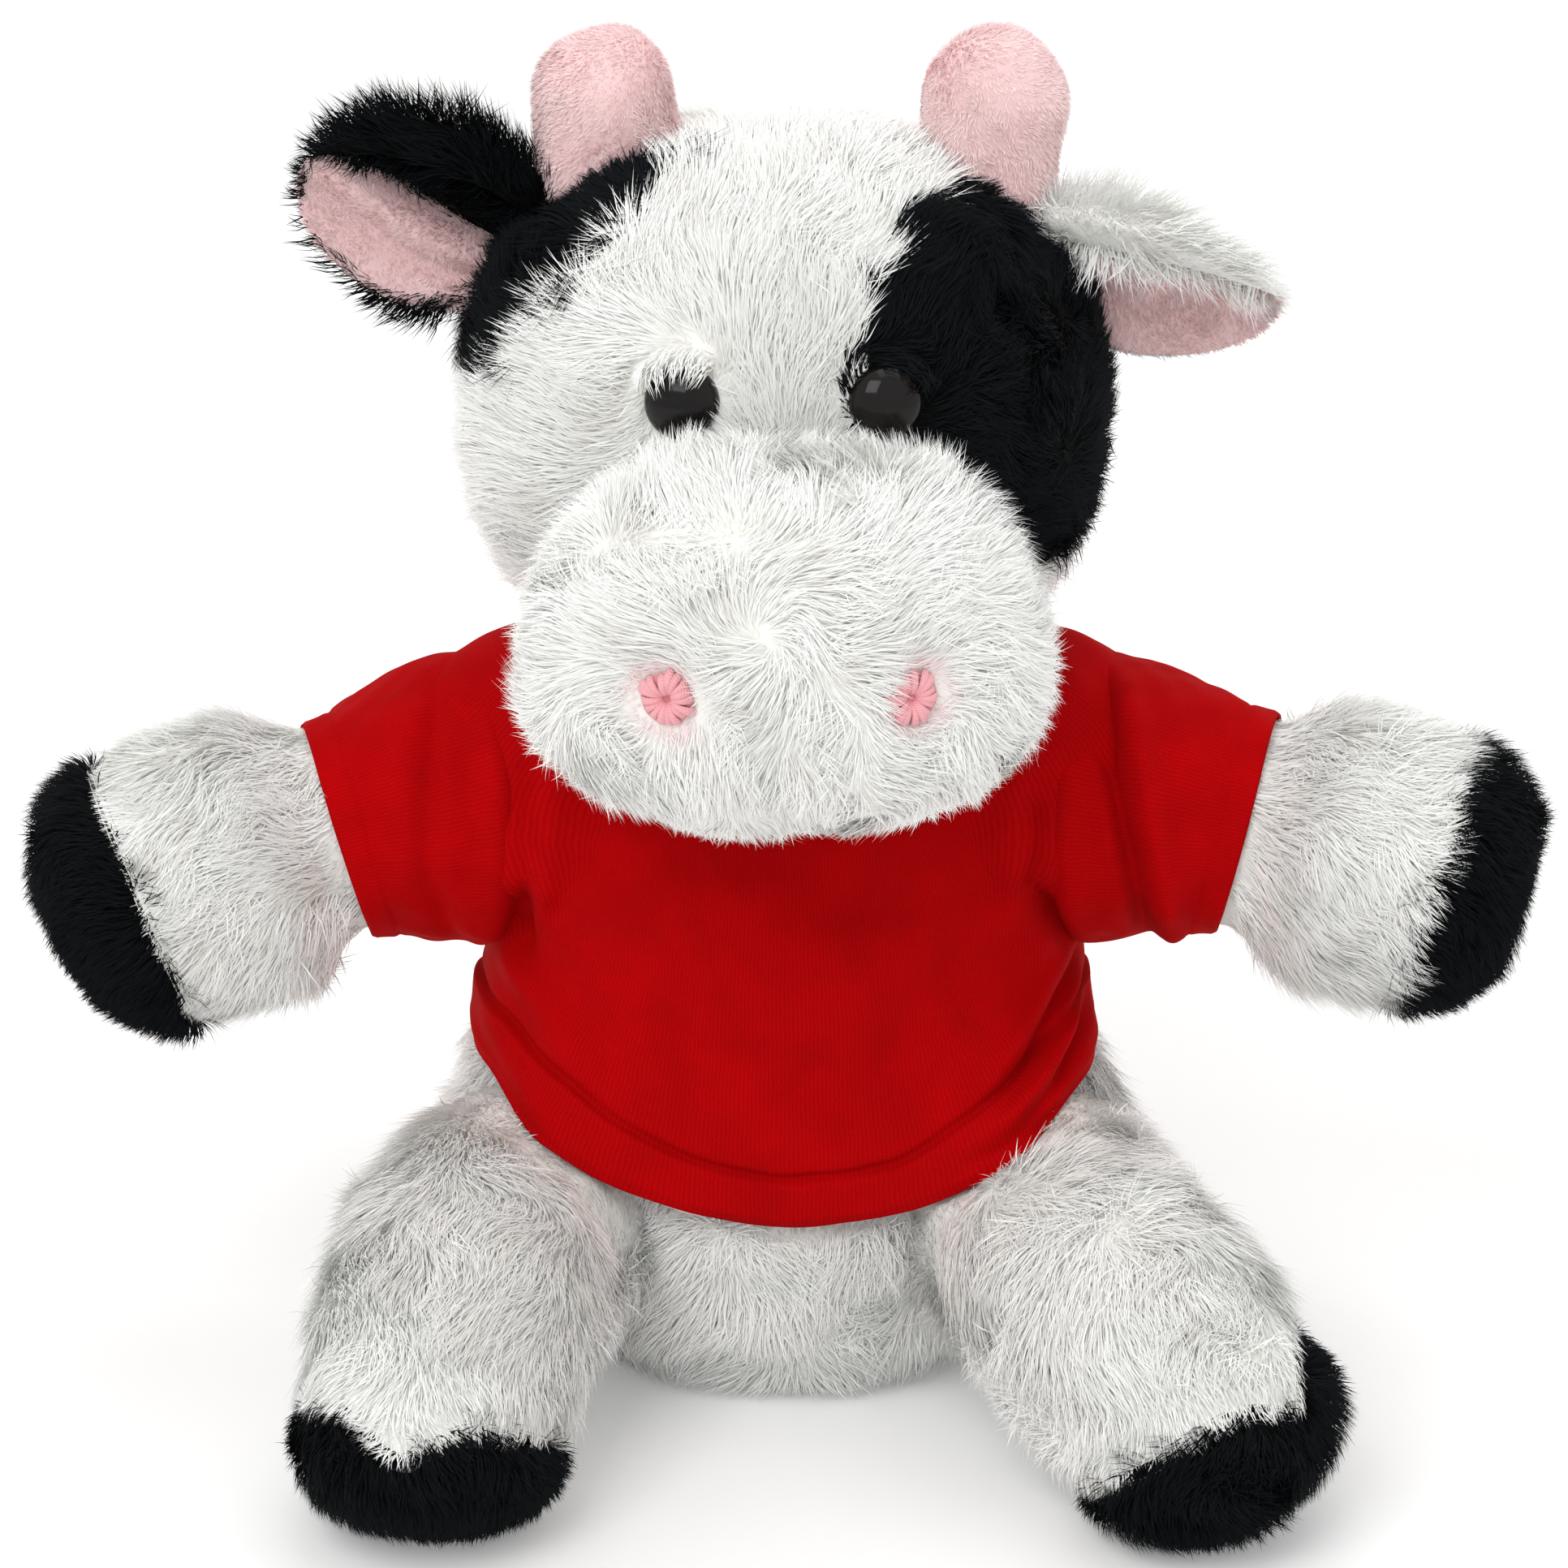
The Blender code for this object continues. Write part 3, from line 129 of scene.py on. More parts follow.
def makePiece(name, points, quads, triangles=None, maps=None):
    # one object at the origin, its place in its mesh
    triangles = np.zeros((0, 3), int) if triangles is None else triangles
    loops = np.concatenate([quads.ravel(), triangles.ravel()]).astype(np.int32)
    starts = np.concatenate([np.arange(len(quads)) * 4, len(quads) * 4 + np.arange(len(triangles)) * 3])
    mesh = bpy.data.meshes.new(name)
    mesh.vertices.add(len(points))
    mesh.vertices.foreach_set("co", (points * mm).astype(np.float32).ravel())
    mesh.loops.add(len(loops))
    mesh.loops.foreach_set("vertex_index", loops)
    mesh.polygons.add(len(starts))
    mesh.polygons.foreach_set("loop_start", starts.astype(np.int32))
    mesh.polygons.foreach_set("use_smooth", np.full(len(starts), True))
    for key, values in (maps or {}).items():
        layer = mesh.uv_layers.new(name=key)
        layer.uv.foreach_set("vector", values[loops].astype(np.float32).ravel())
    mesh.update()
    mesh.validate()
    piece = bpy.data.objects.new(name, mesh)
    bpy.context.scene.collection.objects.link(piece)
    return piece


def faceOut(points, quads, triangles=None):
    # turns all faces round where the volume inside them comes out negative
    volume = 0
    for faces in (quads, triangles):
        if faces is None or not len(faces):
            continue
        a, b, c = points[faces[:, 0]], points[faces[:, 1]], points[faces[:, 2]]
        volume += (a * np.cross(b, c)).sum()
        if faces.shape[1] == 4:
            volume += (a * np.cross(c, points[faces[:, 3]])).sum()
    if volume < 0:
        quads = quads[:, ::-1]
        triangles = None if triangles is None else triangles[:, ::-1]
    return quads, triangles


def closedFaces(rows, columns):
    # quads of a grid whose first and last rows are single points, with fans round these
    quads = gridQuads(rows, columns)
    first = quads[:columns][:, [0, 2, 3]]
    last = quads[-columns:][:, [0, 1, 2]]
    return quads[columns:-columns], np.concatenate([first, last])


def strandMap(tint, share):
    return np.stack([np.broadcast_to(tint, share.shape), share], axis=-1)


# Materials

def shade(code):
    # an sRGB hex colour as linear light
    channels = np.array([int(code[i:i + 2], 16) / 255 for i in (1, 3, 5)])
    channels = np.where(channels <= 0.04045, channels / 12.92, ((channels + 0.055) / 1.055) ** 2.4)
    return (*channels, 1.0)


def addNode(material, kind, settings=None, links=None):
    # kind is the node's type after the word ShaderNode; settings set properties, sockets by name or
    # number, or a ramp's stops as (place, colour); links join outputs to inputs
    node = material.node_tree.nodes.new("ShaderNode" + kind)
    for key, value in (settings or {}).items():
        if key == "stops":
            band = node.color_ramp.elements
            while len(band) < len(value):
                band.new(0.5)
            for stop, (place, code) in zip(band, value):
                stop.position, stop.color = place, shade(code)
        elif hasattr(node, str(key)):
            setattr(node, key, value)
        else:
            node.inputs[key].default_value = value
    for key, output in (links or {}).items():
        material.node_tree.links.new(output, node.inputs[key])
    return node


def feed(material, body, **outputs):
    # joins outputs to the inputs of these names
    for key, output in outputs.items():
        material.node_tree.links.new(output, body.inputs[key.replace("_", " ")])


def newMaterial(name, roughness, **settings):
    material = bpy.data.materials.new(name)
    material.use_nodes = True
    body = material.node_tree.nodes["Principled BSDF"]
    body.inputs["Roughness"].default_value = roughness
    for key, value in settings.items():
        body.inputs[key.replace("_", " ")].default_value = value
    return material, body


def pileMaterial(name, along, tints, sheen, specular, dye=None):
    # The strands' own map holds a random tint (0 to 0.8, above that the dyed ones) and root to tip.
    # Base colour = ramp from root to tip x ramp over the tint; the root-to-tip ramp is darker at the roots,
    # painted shade down among the strands.
    material, body = newMaterial(name, 0.9, Sheen_Weight=sheen[0], Sheen_Roughness=sheen[1],
                                 Specular_IOR_Level=specular)
    place = addNode(material, "UVMap", {"uv_map": "strand"})
    parts = addNode(material, "SeparateXYZ", {}, {0: place.outputs[0]})
    length = addNode(material, "ValToRGB", {"stops": along}, {0: parts.outputs["Y"]})
    tint = addNode(material, "ValToRGB", {"stops": tints}, {0: parts.outputs["X"]})
    colour = addNode(material, "Mix", {"data_type": "RGBA", "blend_type": "MULTIPLY", 0: 1.0},
                     {6: length.outputs[0], 7: tint.outputs[0]})
    if dye:
        dyed = addNode(material, "MapRange", {1: 0.84, 2: 1.0}, {0: parts.outputs["X"]})
        colour = addNode(material, "Mix", {"data_type": "RGBA", 7: shade(dye)},
                         {0: dyed.outputs[0], 6: colour.outputs[2]})
    feed(material, body, Base_Color=colour.outputs[2])
    return material


# Long-pile polyester plush, brushed: soft and matt; its roots are painted darker than its tips, as shade down
# among the strands.
whitePlush = pileMaterial("whiteLongPilePlush", [(0.0, "#F7F7F3"), (0.45, "#FDFDFB")],
                          [(0.0, "#F6F5F1"), (0.35, "#FFFFFF")], (0.15, 0.6), 0.12, "#F2A6AE")
# the black plush's paler, bluish tips are a painted sheen over its near-black roots
blackPlush = pileMaterial("blackLongPilePlush", [(0.0, "#010202"), (0.45, "#101417")],
                          [(0.0, "#707478"), (0.35, "#FFFFFF")], (0.0, 0.6), 0.12)
# Minky: knitted polyester with a brushed pile of 1.5 mm, so it looks velvety and a little mottled.
# its roots are painted darker than its tips, as shade down in the pile
pinkMinky = pileMaterial("pinkMinky", [(0.0, "#F3D3D4"), (0.6, "#FAE3E2"), (1.0, "#FCEAE9")],
                         [(0.0, "#F4EAEB"), (0.5, "#FFFFFF")], (0.12, 0.5), 0.2)


def mottle(material, body, noise, stops):
    # base colour = a ramp over soft noise
    place = addNode(material, "TexCoord")
    cloud = addNode(material, "TexNoise", noise, {"Vector": place.outputs["Object"]})
    colour = addNode(material, "ValToRGB", {"stops": stops}, {0: cloud.outputs["Fac"]})
    feed(material, body, Base_Color=colour.outputs[0])
    return material


# Plush

coatLook = {
    "density": 4.9,         # strands to the square millimetre
    "pile": 9.0,            # mm
    "spread": (0.62, 1.1),  # shortest and longest strand as a share of the pile
    "width": 0.205,         # mm, a strand stands for a few real fibres
    "rootDepth": 0.3,       # mm below the skin
    "lean": (57.0, 85.0),   # degrees from upright at the root and at the tip
    "leanSpread": (6, 8),   # degrees, from place to place and from strand to strand
    "swirl": 0.5,           # how far the lie of the pile wanders
    "swirlSizes": (30.0, 12.0),
    "stray": 0.28,          # how far single strands leave that lie
    "clump": 4.2,           # mm across a tuft
    "pull": 0.28,           # how far tips gather to their tuft
    "curl": 0.1,            # how far tips bend sideways, as a share of the length
    "floor": 0.2,           # mm, nothing reaches below it
}
hoofLook = {"pile": 7.5, "swirl": 0.6}


def cellCorners(grid):
    beside = np.roll(grid, -1, axis=1)
    return [grid[:-1], beside[:-1], grid[1:], beside[1:]]


def scatter(rings, normals, density, rng):
    # roots spread over the cells by their area; each is set in its cell by two random shares
    corners = cellCorners(rings)
    area = lengthOf(np.cross(corners[3] - corners[0], corners[2] - corners[1])) / 2
    count = rng.poisson(area * density).ravel()
    cell = np.repeat(np.arange(count.size), count)
    u = rng.random(len(cell))[:, None]
    v = rng.random(len(cell))[:, None]
    weights = ((1 - u) * (1 - v), u * (1 - v), (1 - u) * v, u * v)
    place, facing = [sum(part.reshape(-1, 3)[cell] * weight for part, weight in zip(parts, weights))
                     for parts in (corners, cellCorners(normals))]
    return place, unit(facing)


def tuftIds(points, size, seed):
    warped = points + wander(points, size * 2.3, seed) * size * 0.35
    cells = np.floor(warped / size).astype(np.int64)
    return np.unique(cells @ np.array([1, 4099, 16785407]), return_inverse=True)[1]


def strands(place, normal, flow, pileShare, look, rng, seed, dyed, stand):
    # each strand is a bent ribbon of two segments: its direction turns from the skin's normal
    # towards the lie of the pile, and its tip is drawn towards the mean tip of its tuft
    total = len(place)
    lie = flow(place, normal)
    lie = unit(lie - normal * dot(lie, normal))
    for part, size in enumerate(look["swirlSizes"]):
        lie = lie + wander(place, size, seed + 10 * part) * look["swirl"] * (0.75 if part else 1.0)
    lie = unit(lie - normal * dot(lie, normal) + rng.normal(0, look["stray"], (total, 3)))
    lie = unit(lie - normal * dot(lie, normal))
    across = np.cross(lie, normal)
    length = look["pile"] * pileShare * rng.uniform(*look["spread"], total)
    length = length * (1 + 0.16 * waves(place, 14, seed + 40))
    low, high = look["lean"]
    broad, single = look["leanSpread"]
    lift = broad * waves(place, 20, seed + 50) + rng.normal(0, single, total)
    steps = (0.0, 0.5, 1.0)
    line = [place - normal * look["rootDepth"]]
    headings = []
    for start, end in zip(steps, steps[1:]):
        middle = (start + end) / 2
        lean = low + (high - low) * middle + lift - stand * (1.4 - 1.2 * middle)
        angle = np.radians(np.clip(lean, 4, 86))[:, None]
        heading = normal * np.cos(angle) + lie * np.sin(angle)
        headings.append(heading)
        line.append(line[-1] + heading * (length * (end - start))[:, None])
    tuft = tuftIds(place, look["clump"], seed + 60)
    count = np.bincount(tuft)
    tip = np.stack([np.bincount(tuft, line[-1][:, axis]) / count for axis in range(3)], -1)[tuft]
    pull = look["pull"] * rng.uniform(0.5, 1.1, total)[:, None]
    curl = (waves(place, 5, seed + 70) * look["curl"] * length)[:, None] * across
    line = [spot + (tip - line[-1]) * pull * step ** 2 + curl * step ** 2
            for spot, step in zip(line, steps)]
    twist = rng.uniform(-0.35, 0.35, total)[:, None]
    half = look["width"] / 2 * rng.uniform(0.7, 1.3, total)[:, None]
    root, bend = [unit(across * np.cos(twist) + np.cross(across, heading) * np.sin(twist)) * half
                  for heading in headings]
    points = np.stack([line[0] - root, line[0] + root, line[1] - bend * 0.9, line[1] + bend * 0.9,
                       line[2]], axis=1)
    points[..., 2] = np.maximum(points[..., 2], look["floor"] + 0.25 * rng.random((total, 1)))
    base = np.arange(total)[:, None] * 5
    tint = np.clip(0.42 + 0.2 * waves(place, 9, seed + 80) + rng.normal(0, 0.14, total), 0.02, 0.8)
    if dyed is not None:
        tint = np.where(dyed > 0.02, 0.84 + 0.16 * dyed, tint)
    quads, triangles = base + np.array([0, 1, 3, 2]), base + np.array([2, 3, 4])
    marks = strandMap(tint[:, None], np.broadcast_to(np.array([0.0, 0.0, 0.5, 0.5, 1.0]), (total, 5)))
    return points.reshape(-1, 3), quads, triangles, marks.reshape(-1, 2)


def makeCoat(name, rings, material, flow, pile, seed, look=None, hold=None, dye=None, stand=None):
    # skin and strands as one mesh; pile gives each root's share of the length, 0 for bare skin;
    # hold says which points of the skin's own grid are kept, dye how much of the thread's colour
    # a strand has, stand how many degrees steeper the pile is
    look = {**coatLook, **(look or {})}
    rng = np.random.default_rng(seed)
    normals = gridNormals(rings)
    quads, triangles = closedFaces(*rings.shape[:2])
    points = rings.reshape(-1, 3).copy()
    points[:, 2] = np.maximum(points[:, 2], look["floor"])
    quads, triangles = faceOut(points, quads, triangles)
    if hold is not None:
        keep = hold(points)
        quads = quads[keep[quads].all(axis=1)]
        triangles = triangles[keep[triangles].all(axis=1)]
    place, normal = scatter(rings, normals, look["density"], rng)
    share = pile(place)
    chosen = share > 0.04
    place, normal, share = place[chosen], normal[chosen], share[chosen]
    dyed = dye(place) if dye else None
    steeper = stand(place) if stand else 0
    hair = strands(place, normal, flow, share, look, rng, seed, dyed, steeper)
    # the bare skin takes the strands' root colour, the same painted shade as the roots
    marks = np.concatenate([strandMap(np.full(len(points), 0.3), np.zeros(len(points))), hair[3]])
    piece = makePiece(name, np.concatenate([points, hair[0]]),
                      np.concatenate([quads, hair[1] + len(points)]),
                      np.concatenate([triangles, hair[2] + len(points)]),
                      {"strand": marks, "OFBake": marks})
    piece.data.materials.append(material)
    print(name, len(place), "strands")
    return piece


def dress(piece, slot, body, *nodes, fill=None):
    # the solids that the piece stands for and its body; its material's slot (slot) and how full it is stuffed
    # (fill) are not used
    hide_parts(*nodes)
    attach(piece, body)


# Paths and limbs

def headed(yaw, rise):
    return np.stack([np.cos(rise) * np.cos(yaw), np.cos(rise) * np.sin(yaw), np.sin(rise)], -1)


def bentPath(start, heading, pitch, length, lead):
    # straight for the lead, then heading and pitch change evenly, both in degrees
    run = np.linspace(0, length, 200)
    share = np.clip((run - lead) / (length - lead), 0, 1)
    yaw = np.radians(heading[0] + (heading[1] - heading[0]) * share)
    rise = np.radians(pitch[0] + (pitch[1] - pitch[0]) * share)
    ahead = headed(yaw, rise)
    step = (ahead[1:] + ahead[:-1]) / 2 * (run[1] - run[0])
    line = np.concatenate([[start], start + np.cumsum(step, axis=0)])

    def at(distance):
        # the point there, and the directions ahead, sideways and up
        spot = np.clip(distance, 0, length)
        place = np.stack([np.interp(spot, run, line[:, axis]) for axis in range(3)], -1)
        turn, lift = np.interp(spot, run, yaw), np.interp(spot, run, rise)
        forward = headed(turn, lift)
        side = np.stack([-np.sin(turn), np.cos(turn), 0 * turn], -1)
        return place + forward * (distance - spot)[..., None], forward, side, np.cross(forward, side)

    return at


def around(path, distance, radius, columns):
    # rings of points round a path
    turn = turns(columns)
    place, _, side, up = path(distance + 0 * turn)
    return place + radius[..., None] * (side * np.cos(turn)[:, None] + up * np.sin(turn)[:, None])


def stationRadius(stations, distance):
    # radius eased between (distance, radius) stations
    spots, radii = np.array(stations).T
    index = np.clip(np.searchsorted(spots, distance) - 1, 0, len(spots) - 2)
    share = ease(distance, spots[index], spots[index + 1])
    return radii[index] + (radii[index + 1] - radii[index]) * share


def capSteps(limb, start, count):
    # distances over the round end, closer together towards the tip
    length, cap = limb["length"], limb["cap"]
    first = np.arcsin(np.clip((start - length + cap) / cap, -1, 1))
    share = np.linspace(0, 1, count)[:-1, None]
    return length - cap + cap * np.sin(first + (np.pi / 2 - first) * share)


def withPoles(rings):
    # a point of its own, given as a whole row, closes each end
    first = np.broadcast_to(rings[0].mean(axis=0), rings[:1].shape)
    last = np.broadcast_to(rings[-1].mean(axis=0), rings[:1].shape)
    return np.concatenate([first, rings, last])


limbColumns = 96


def limbRings(limb, steps):
    # a limb's rings with a blunt round end: radius = stations' radius x (1 - share^2)^0.4
    share = np.clip((steps - limb["length"] + limb["cap"]) / limb["cap"], 0, 1)
    radius = stationRadius(limb["stations"], steps) * (1 - share ** 2) ** 0.4
    return withPoles(around(limb["path"], steps, radius, limbColumns))


def along(path, points, length):
    # distance along a path of the path's point nearest to each point
    run = np.linspace(0, length, 60)
    line = path(run)[0]
    gap = lengthOf(points[:, None, :] - line[None])
    nearest = gap.argmin(axis=1)
    return run[nearest] + dot(points - line[nearest], path(run)[1][nearest])[:, 0]


# heading and pitch in degrees; cuff: its distance along the arm; overlap: the pile's share there;
# hoof: how long the hoof is; waist: the skin's radius in the cuff; all lengths in mm
arms = {
    "left": {"heading": -13.0, "pitch": (-7.0, -15.0), "cuff": 37.5, "overlap": 0.7},
    "right": {"heading": 193.0, "pitch": (-9.0, -23.0), "cuff": 35.0, "overlap": 0.25},
}
armShape = {"length": 81.0, "root": 22.0, "waist": 16.9, "paw": 22.0, "cap": 15.0, "hoof": 14.0,
            "lead": 24.2, "rootEnd": 14.5, "pawStart": 66.0, "pile": 1.08, "hoofPile": 0.78}
for side, arm in arms.items():
    arm.update(length=armShape["length"], cap=armShape["cap"])
    arm["path"] = bentPath(pivots[f"shoulder_{side}"], (arm["heading"],) * 2, arm["pitch"],
                           arm["length"], armShape["lead"])
    arm["stations"] = [(0, armShape["root"]), (armShape["rootEnd"], armShape["root"]),
                       (arm["cuff"], armShape["waist"]), (arm["cuff"] + 14, armShape["paw"]),
                       (armShape["pawStart"], armShape["paw"])]

# splay: degrees that the leg points outward at the hip and at the hoof; bend: how far it drops from
# hip to hoof; lean, tilt and notch: how the hoof's seam slants and dips, in mm
legs = {
    "left": {"splay": (16.0, 52.0), "pitch": 9.271, "length": 95.0, "lean": 4.5, "hoof": 17.5},
    "right": {"splay": (21.0, 7.0), "pitch": 8.005, "length": 91.0, "lean": 1.0, "hoof": 14.0},
}
legShape = {"root": 21.0, "knee": 21.4, "paw": 20.0, "cap": 14.0, "bend": 66.0, "rootEnd": 25,
            "lead": 25.0, "tilt": 3.0, "notch": 5.0, "underHem": 1.8, "hoofPile": 0.72}
for side, leg in legs.items():
    leg["cap"] = legShape["cap"]
    heading = [-90 + sides[side] * angle for angle in leg["splay"]]
    leg["path"] = bentPath(pivots[f"hip_{side}"], heading, (leg["pitch"], leg["pitch"] - legShape["bend"]),
                           leg["length"], legShape["lead"])
    leg["stations"] = [(0, legShape["root"]), (legShape["rootEnd"], legShape["root"]),
                       (leg["length"] * 0.6, legShape["knee"]), (leg["length"] - leg["cap"], legShape["paw"])]


def coatLimb(kind, side, limb, coats, flow, seed):
    # coats: rings and pile of the white plush, then rings, pile and lean of the black hoof
    name, part = side.capitalize(), f"{kind}_{side}"
    rings, pile, hoofRings, hoofPile, lean = coats
    coat = makeCoat(f"{kind}{name}Plush", rings, whitePlush, flow, pile, seed + sides[side])
    dress(coat, "white_plush", part, f"{part}_skin", f"{part}_fill", fill=0.8)
    hoofRings[-1] = limb["path"](np.array([limb["length"]]))[0]
    hoof = makeCoat(f"{kind}Hoof{name}Plush", hoofRings, blackPlush, flow, hoofPile, seed + 10 + sides[side],
                    {**hoofLook, "lean": lean})
    dress(hoof, "black_plush", part, f"{part}_hoof", fill=0.8)


def makeArm(side):
    arm = arms[side]
    path, length, cuff = arm["path"], arm["length"], arm["cuff"]
    seam = length - armShape["hoof"]

    def flow(points, normals):
        return path(along(path, points, length))[1] + np.array([0, 0, -0.5])

    def spotOf(points):
        # distance along the arm, uneven so that the edges of the pile are
        return along(path, points, length) + 1.2 * waves(points, 7, 5)

    def pile(points):
        spot = spotOf(points)
        share = ease(spot, cuff - 2.5, cuff + 2) * (spot < seam + 0.6)
        return share * (arm["overlap"] + (armShape["pile"] - arm["overlap"]) * ease(seam - spot, 0, 14))

    def hoofPile(points):
        return (spotOf(points) > seam - 0.6) * armShape["hoofPile"]

    rings = limbRings(arm, np.linspace(cuff - 8, seam + 0.5, 40)[:, None])
    hoofRings = limbRings(arm, capSteps(arm, max(seam - 1.5, length - arm["cap"]), 22))
    coatLimb("arm", side, arm, (rings, pile, hoofRings, hoofPile, (25.0, 68.0)), flow, 100)


def makeLeg(side):
    leg = legs[side]
    path, length = leg["path"], leg["length"]
    seam = length - leg["hoof"]

    def seamAt(angle):
        # the seam dips between the two toes, on top
        dip = legShape["notch"] * np.exp(-((np.cos(angle) / 0.34) ** 2)) * (np.sin(angle) > 0)
        wave = legShape["tilt"] * np.sin(angle) + dip - sides[side] * leg["lean"] * np.cos(angle)
        return seam + wave

    def beforeSeam(points):
        # distance along the leg, and how far short of the seam that is, uneven like the pile's edge
        spot = along(path, points, length)
        place, _, sideways, up = path(spot)
        angle = np.arctan2(dot(points - place, up)[:, 0], dot(points - place, sideways)[:, 0])
        spot = spot + 1.3 * waves(points, 7, 9)
        return spot, seamAt(angle) - spot

    def flow(points, normals):
        return path(along(path, points, length))[1] * 0.8 + np.array([0, 0, -0.35])

    def pile(points):
        spot, short = beforeSeam(points)
        return (short > -0.6) * ease(spot, 6, 14) * besideHem(points) * (0.36 + 0.69 * ease(short, 0, 13))

    def hoofPile(points):
        return (beforeSeam(points)[1] < 0.6) * legShape["hoofPile"]

    start = 6
    end = seamAt(turns(limbColumns)) + 0.5
    rings = limbRings(leg, start + (end - start) * np.linspace(0, 1, 44)[:, None])
    # the jersey presses the thigh down: under it the skin stays below the hem's height
    turned = np.arctan2(rings[..., 1], rings[..., 0])
    under = 1 - ease(lengthOf(rings[..., :2]) - hemCurve(turned, 1), -1, 6)
    press = np.maximum(0, rings[..., 2] - hemCurve(turned, 2) + legShape["underHem"])
    rings[..., 2] -= press * under
    hoofRings = limbRings(leg, capSteps(leg, seamAt(turns(limbColumns)) - 1.5, 24))
    coatLimb("leg", side, leg, (rings, pile, hoofRings, hoofPile, (25.0, 70.0)), flow, 120)


# Body

torso = {
    "height": 118.0, "halfWidth": 49.0, "halfDepth": 43.0,
    "rows": [(0.0, 0.62, 0.62), (0.04, 0.82, 0.82), (0.12, 0.94, 0.94), (0.25, 0.99, 0.99),
             (0.42, 1.0, 1.0), (0.58, 0.96, 0.95), (0.71, 0.91, 0.87), (0.82, 0.83, 0.75),
             (0.91, 0.66, 0.59), (0.97, 0.42, 0.38), (1.0, 0.02, 0.02)],
    # rows: (share of the height, of the half width, of the half depth); radii of the balls at the joints
    "shoulder": 24.2, "hip": 22.5, "neckRadii": (30, 23), "underJersey": 2.8,
    "pile": 8.5, "collarPile": 0.75, "stand": {"beside": 22, "neck": 40},
}


def barrelWidths(height):
    # half width and half depth at a height, the rows' corners rounded off over 4 mm
    rows = np.array(torso["rows"])
    fine = np.linspace(-20, 138, 633)
    widths = []
    for column, size in ((1, torso["halfWidth"]), (2, torso["halfDepth"])):
        dense = np.interp(fine, rows[:, 0] * torso["height"], rows[:, column] * size)
        soft = smooth(dense, 12, "edge")
        soft = np.where((fine > 4) & (fine < torso["height"] - 3), soft, dense)
        widths.append(np.interp(height, fine, soft))
    return widths


def bodyField(points, balls):
    # distance outside the barrel or the nearest ball in mm, blended softly where they meet
    height = np.clip(points[..., 2], 0, torso["height"])
    wide, deep = barrelWidths(height)
    mean = (wide + deep) / 2
    ratio = np.sqrt((points[..., 0] / wide) ** 2 + (points[..., 1] / deep) ** 2)
    fields = [(ratio - 1) * mean + np.abs(points[..., 2] - height)]
    fields += [lengthOf(points - centre) - radius for centre, radius in balls]
    fields = np.array(fields)
    soft = 2.0
    least = fields.min(axis=0)
    return least - soft * np.log(np.exp(-(fields - least) / soft).sum(axis=0))


def castOut(origins, directions, field, level):
    # where rays leave the body, found by halving
    near = np.full(origins.shape[:-1], 4.0)
    far = np.full(origins.shape[:-1], 90.0)
    for _ in range(22):
        middle = (near + far) / 2
        inside = field(origins + directions * middle[..., None]) < level
        near, far = np.where(inside, middle, near), np.where(inside, far, middle)
    return origins + directions * near[..., None]


# hem: degrees round from the front, distance from the axis and height, over the thighs and hips
hem = {
    "right": [(0, 46.0, 36.3), (17, 49.4, 39.4), (31, 58.0, 46.7), (41, 59.8, 51.5), (49, 58.0, 54.0),
              (59, 55.0, 56.0), (77, 52.0, 56.5)],
    "left": [(0, 46.0, 36.3), (15, 47.5, 37.8), (24, 52.6, 40.6), (35, 59.4, 47.2), (49, 59.0, 54.0),
             (63, 55.5, 56.2), (77, 52.5, 56.5)],
    "back": [(95, 51.0, 55.0), (120, 49.0, 51.0), (150, 46.5, 46.5), (180, 45.5, 43.5)],
    "band": 7.5,
}
shoulderBalls = [(pivots[f"shoulder_{side}"], torso["shoulder"]) for side in sides]
hipBalls = [(pivots[f"hip_{side}"], torso["hip"]) for side in sides]


def hemCurve(turn, column):
    # the hem's distance from the axis (1) or height (2) at an angle round the body, corners softened
    fine = np.linspace(-180, 180, 721)
    right, left = [np.array(hem[side] + hem["back"]).T[[0, column]] for side in ("right", "left")]
    values = np.where(fine < 0, np.interp(-fine, *right), np.interp(fine, *left))
    angle = (np.degrees(turn) + 90 + 180) % 360 - 180
    return np.interp(angle, fine, smooth(values, 16, "wrap"))


def besideHem(points):
    # the pile is pressed flat under the hem: 0 there, 1 well outside it or well below it
    turn = np.arctan2(points[:, 1], points[:, 0])
    outside = lengthOf(points[:, :2]) - hemCurve(turn, 1)
    below = hemCurve(turn, 2) - points[:, 2]
    beside = np.maximum(ease(outside, 0, 9), ease(below, 9, 16))
    return np.maximum(beside, 0.36 * ease(below, -1, 1))


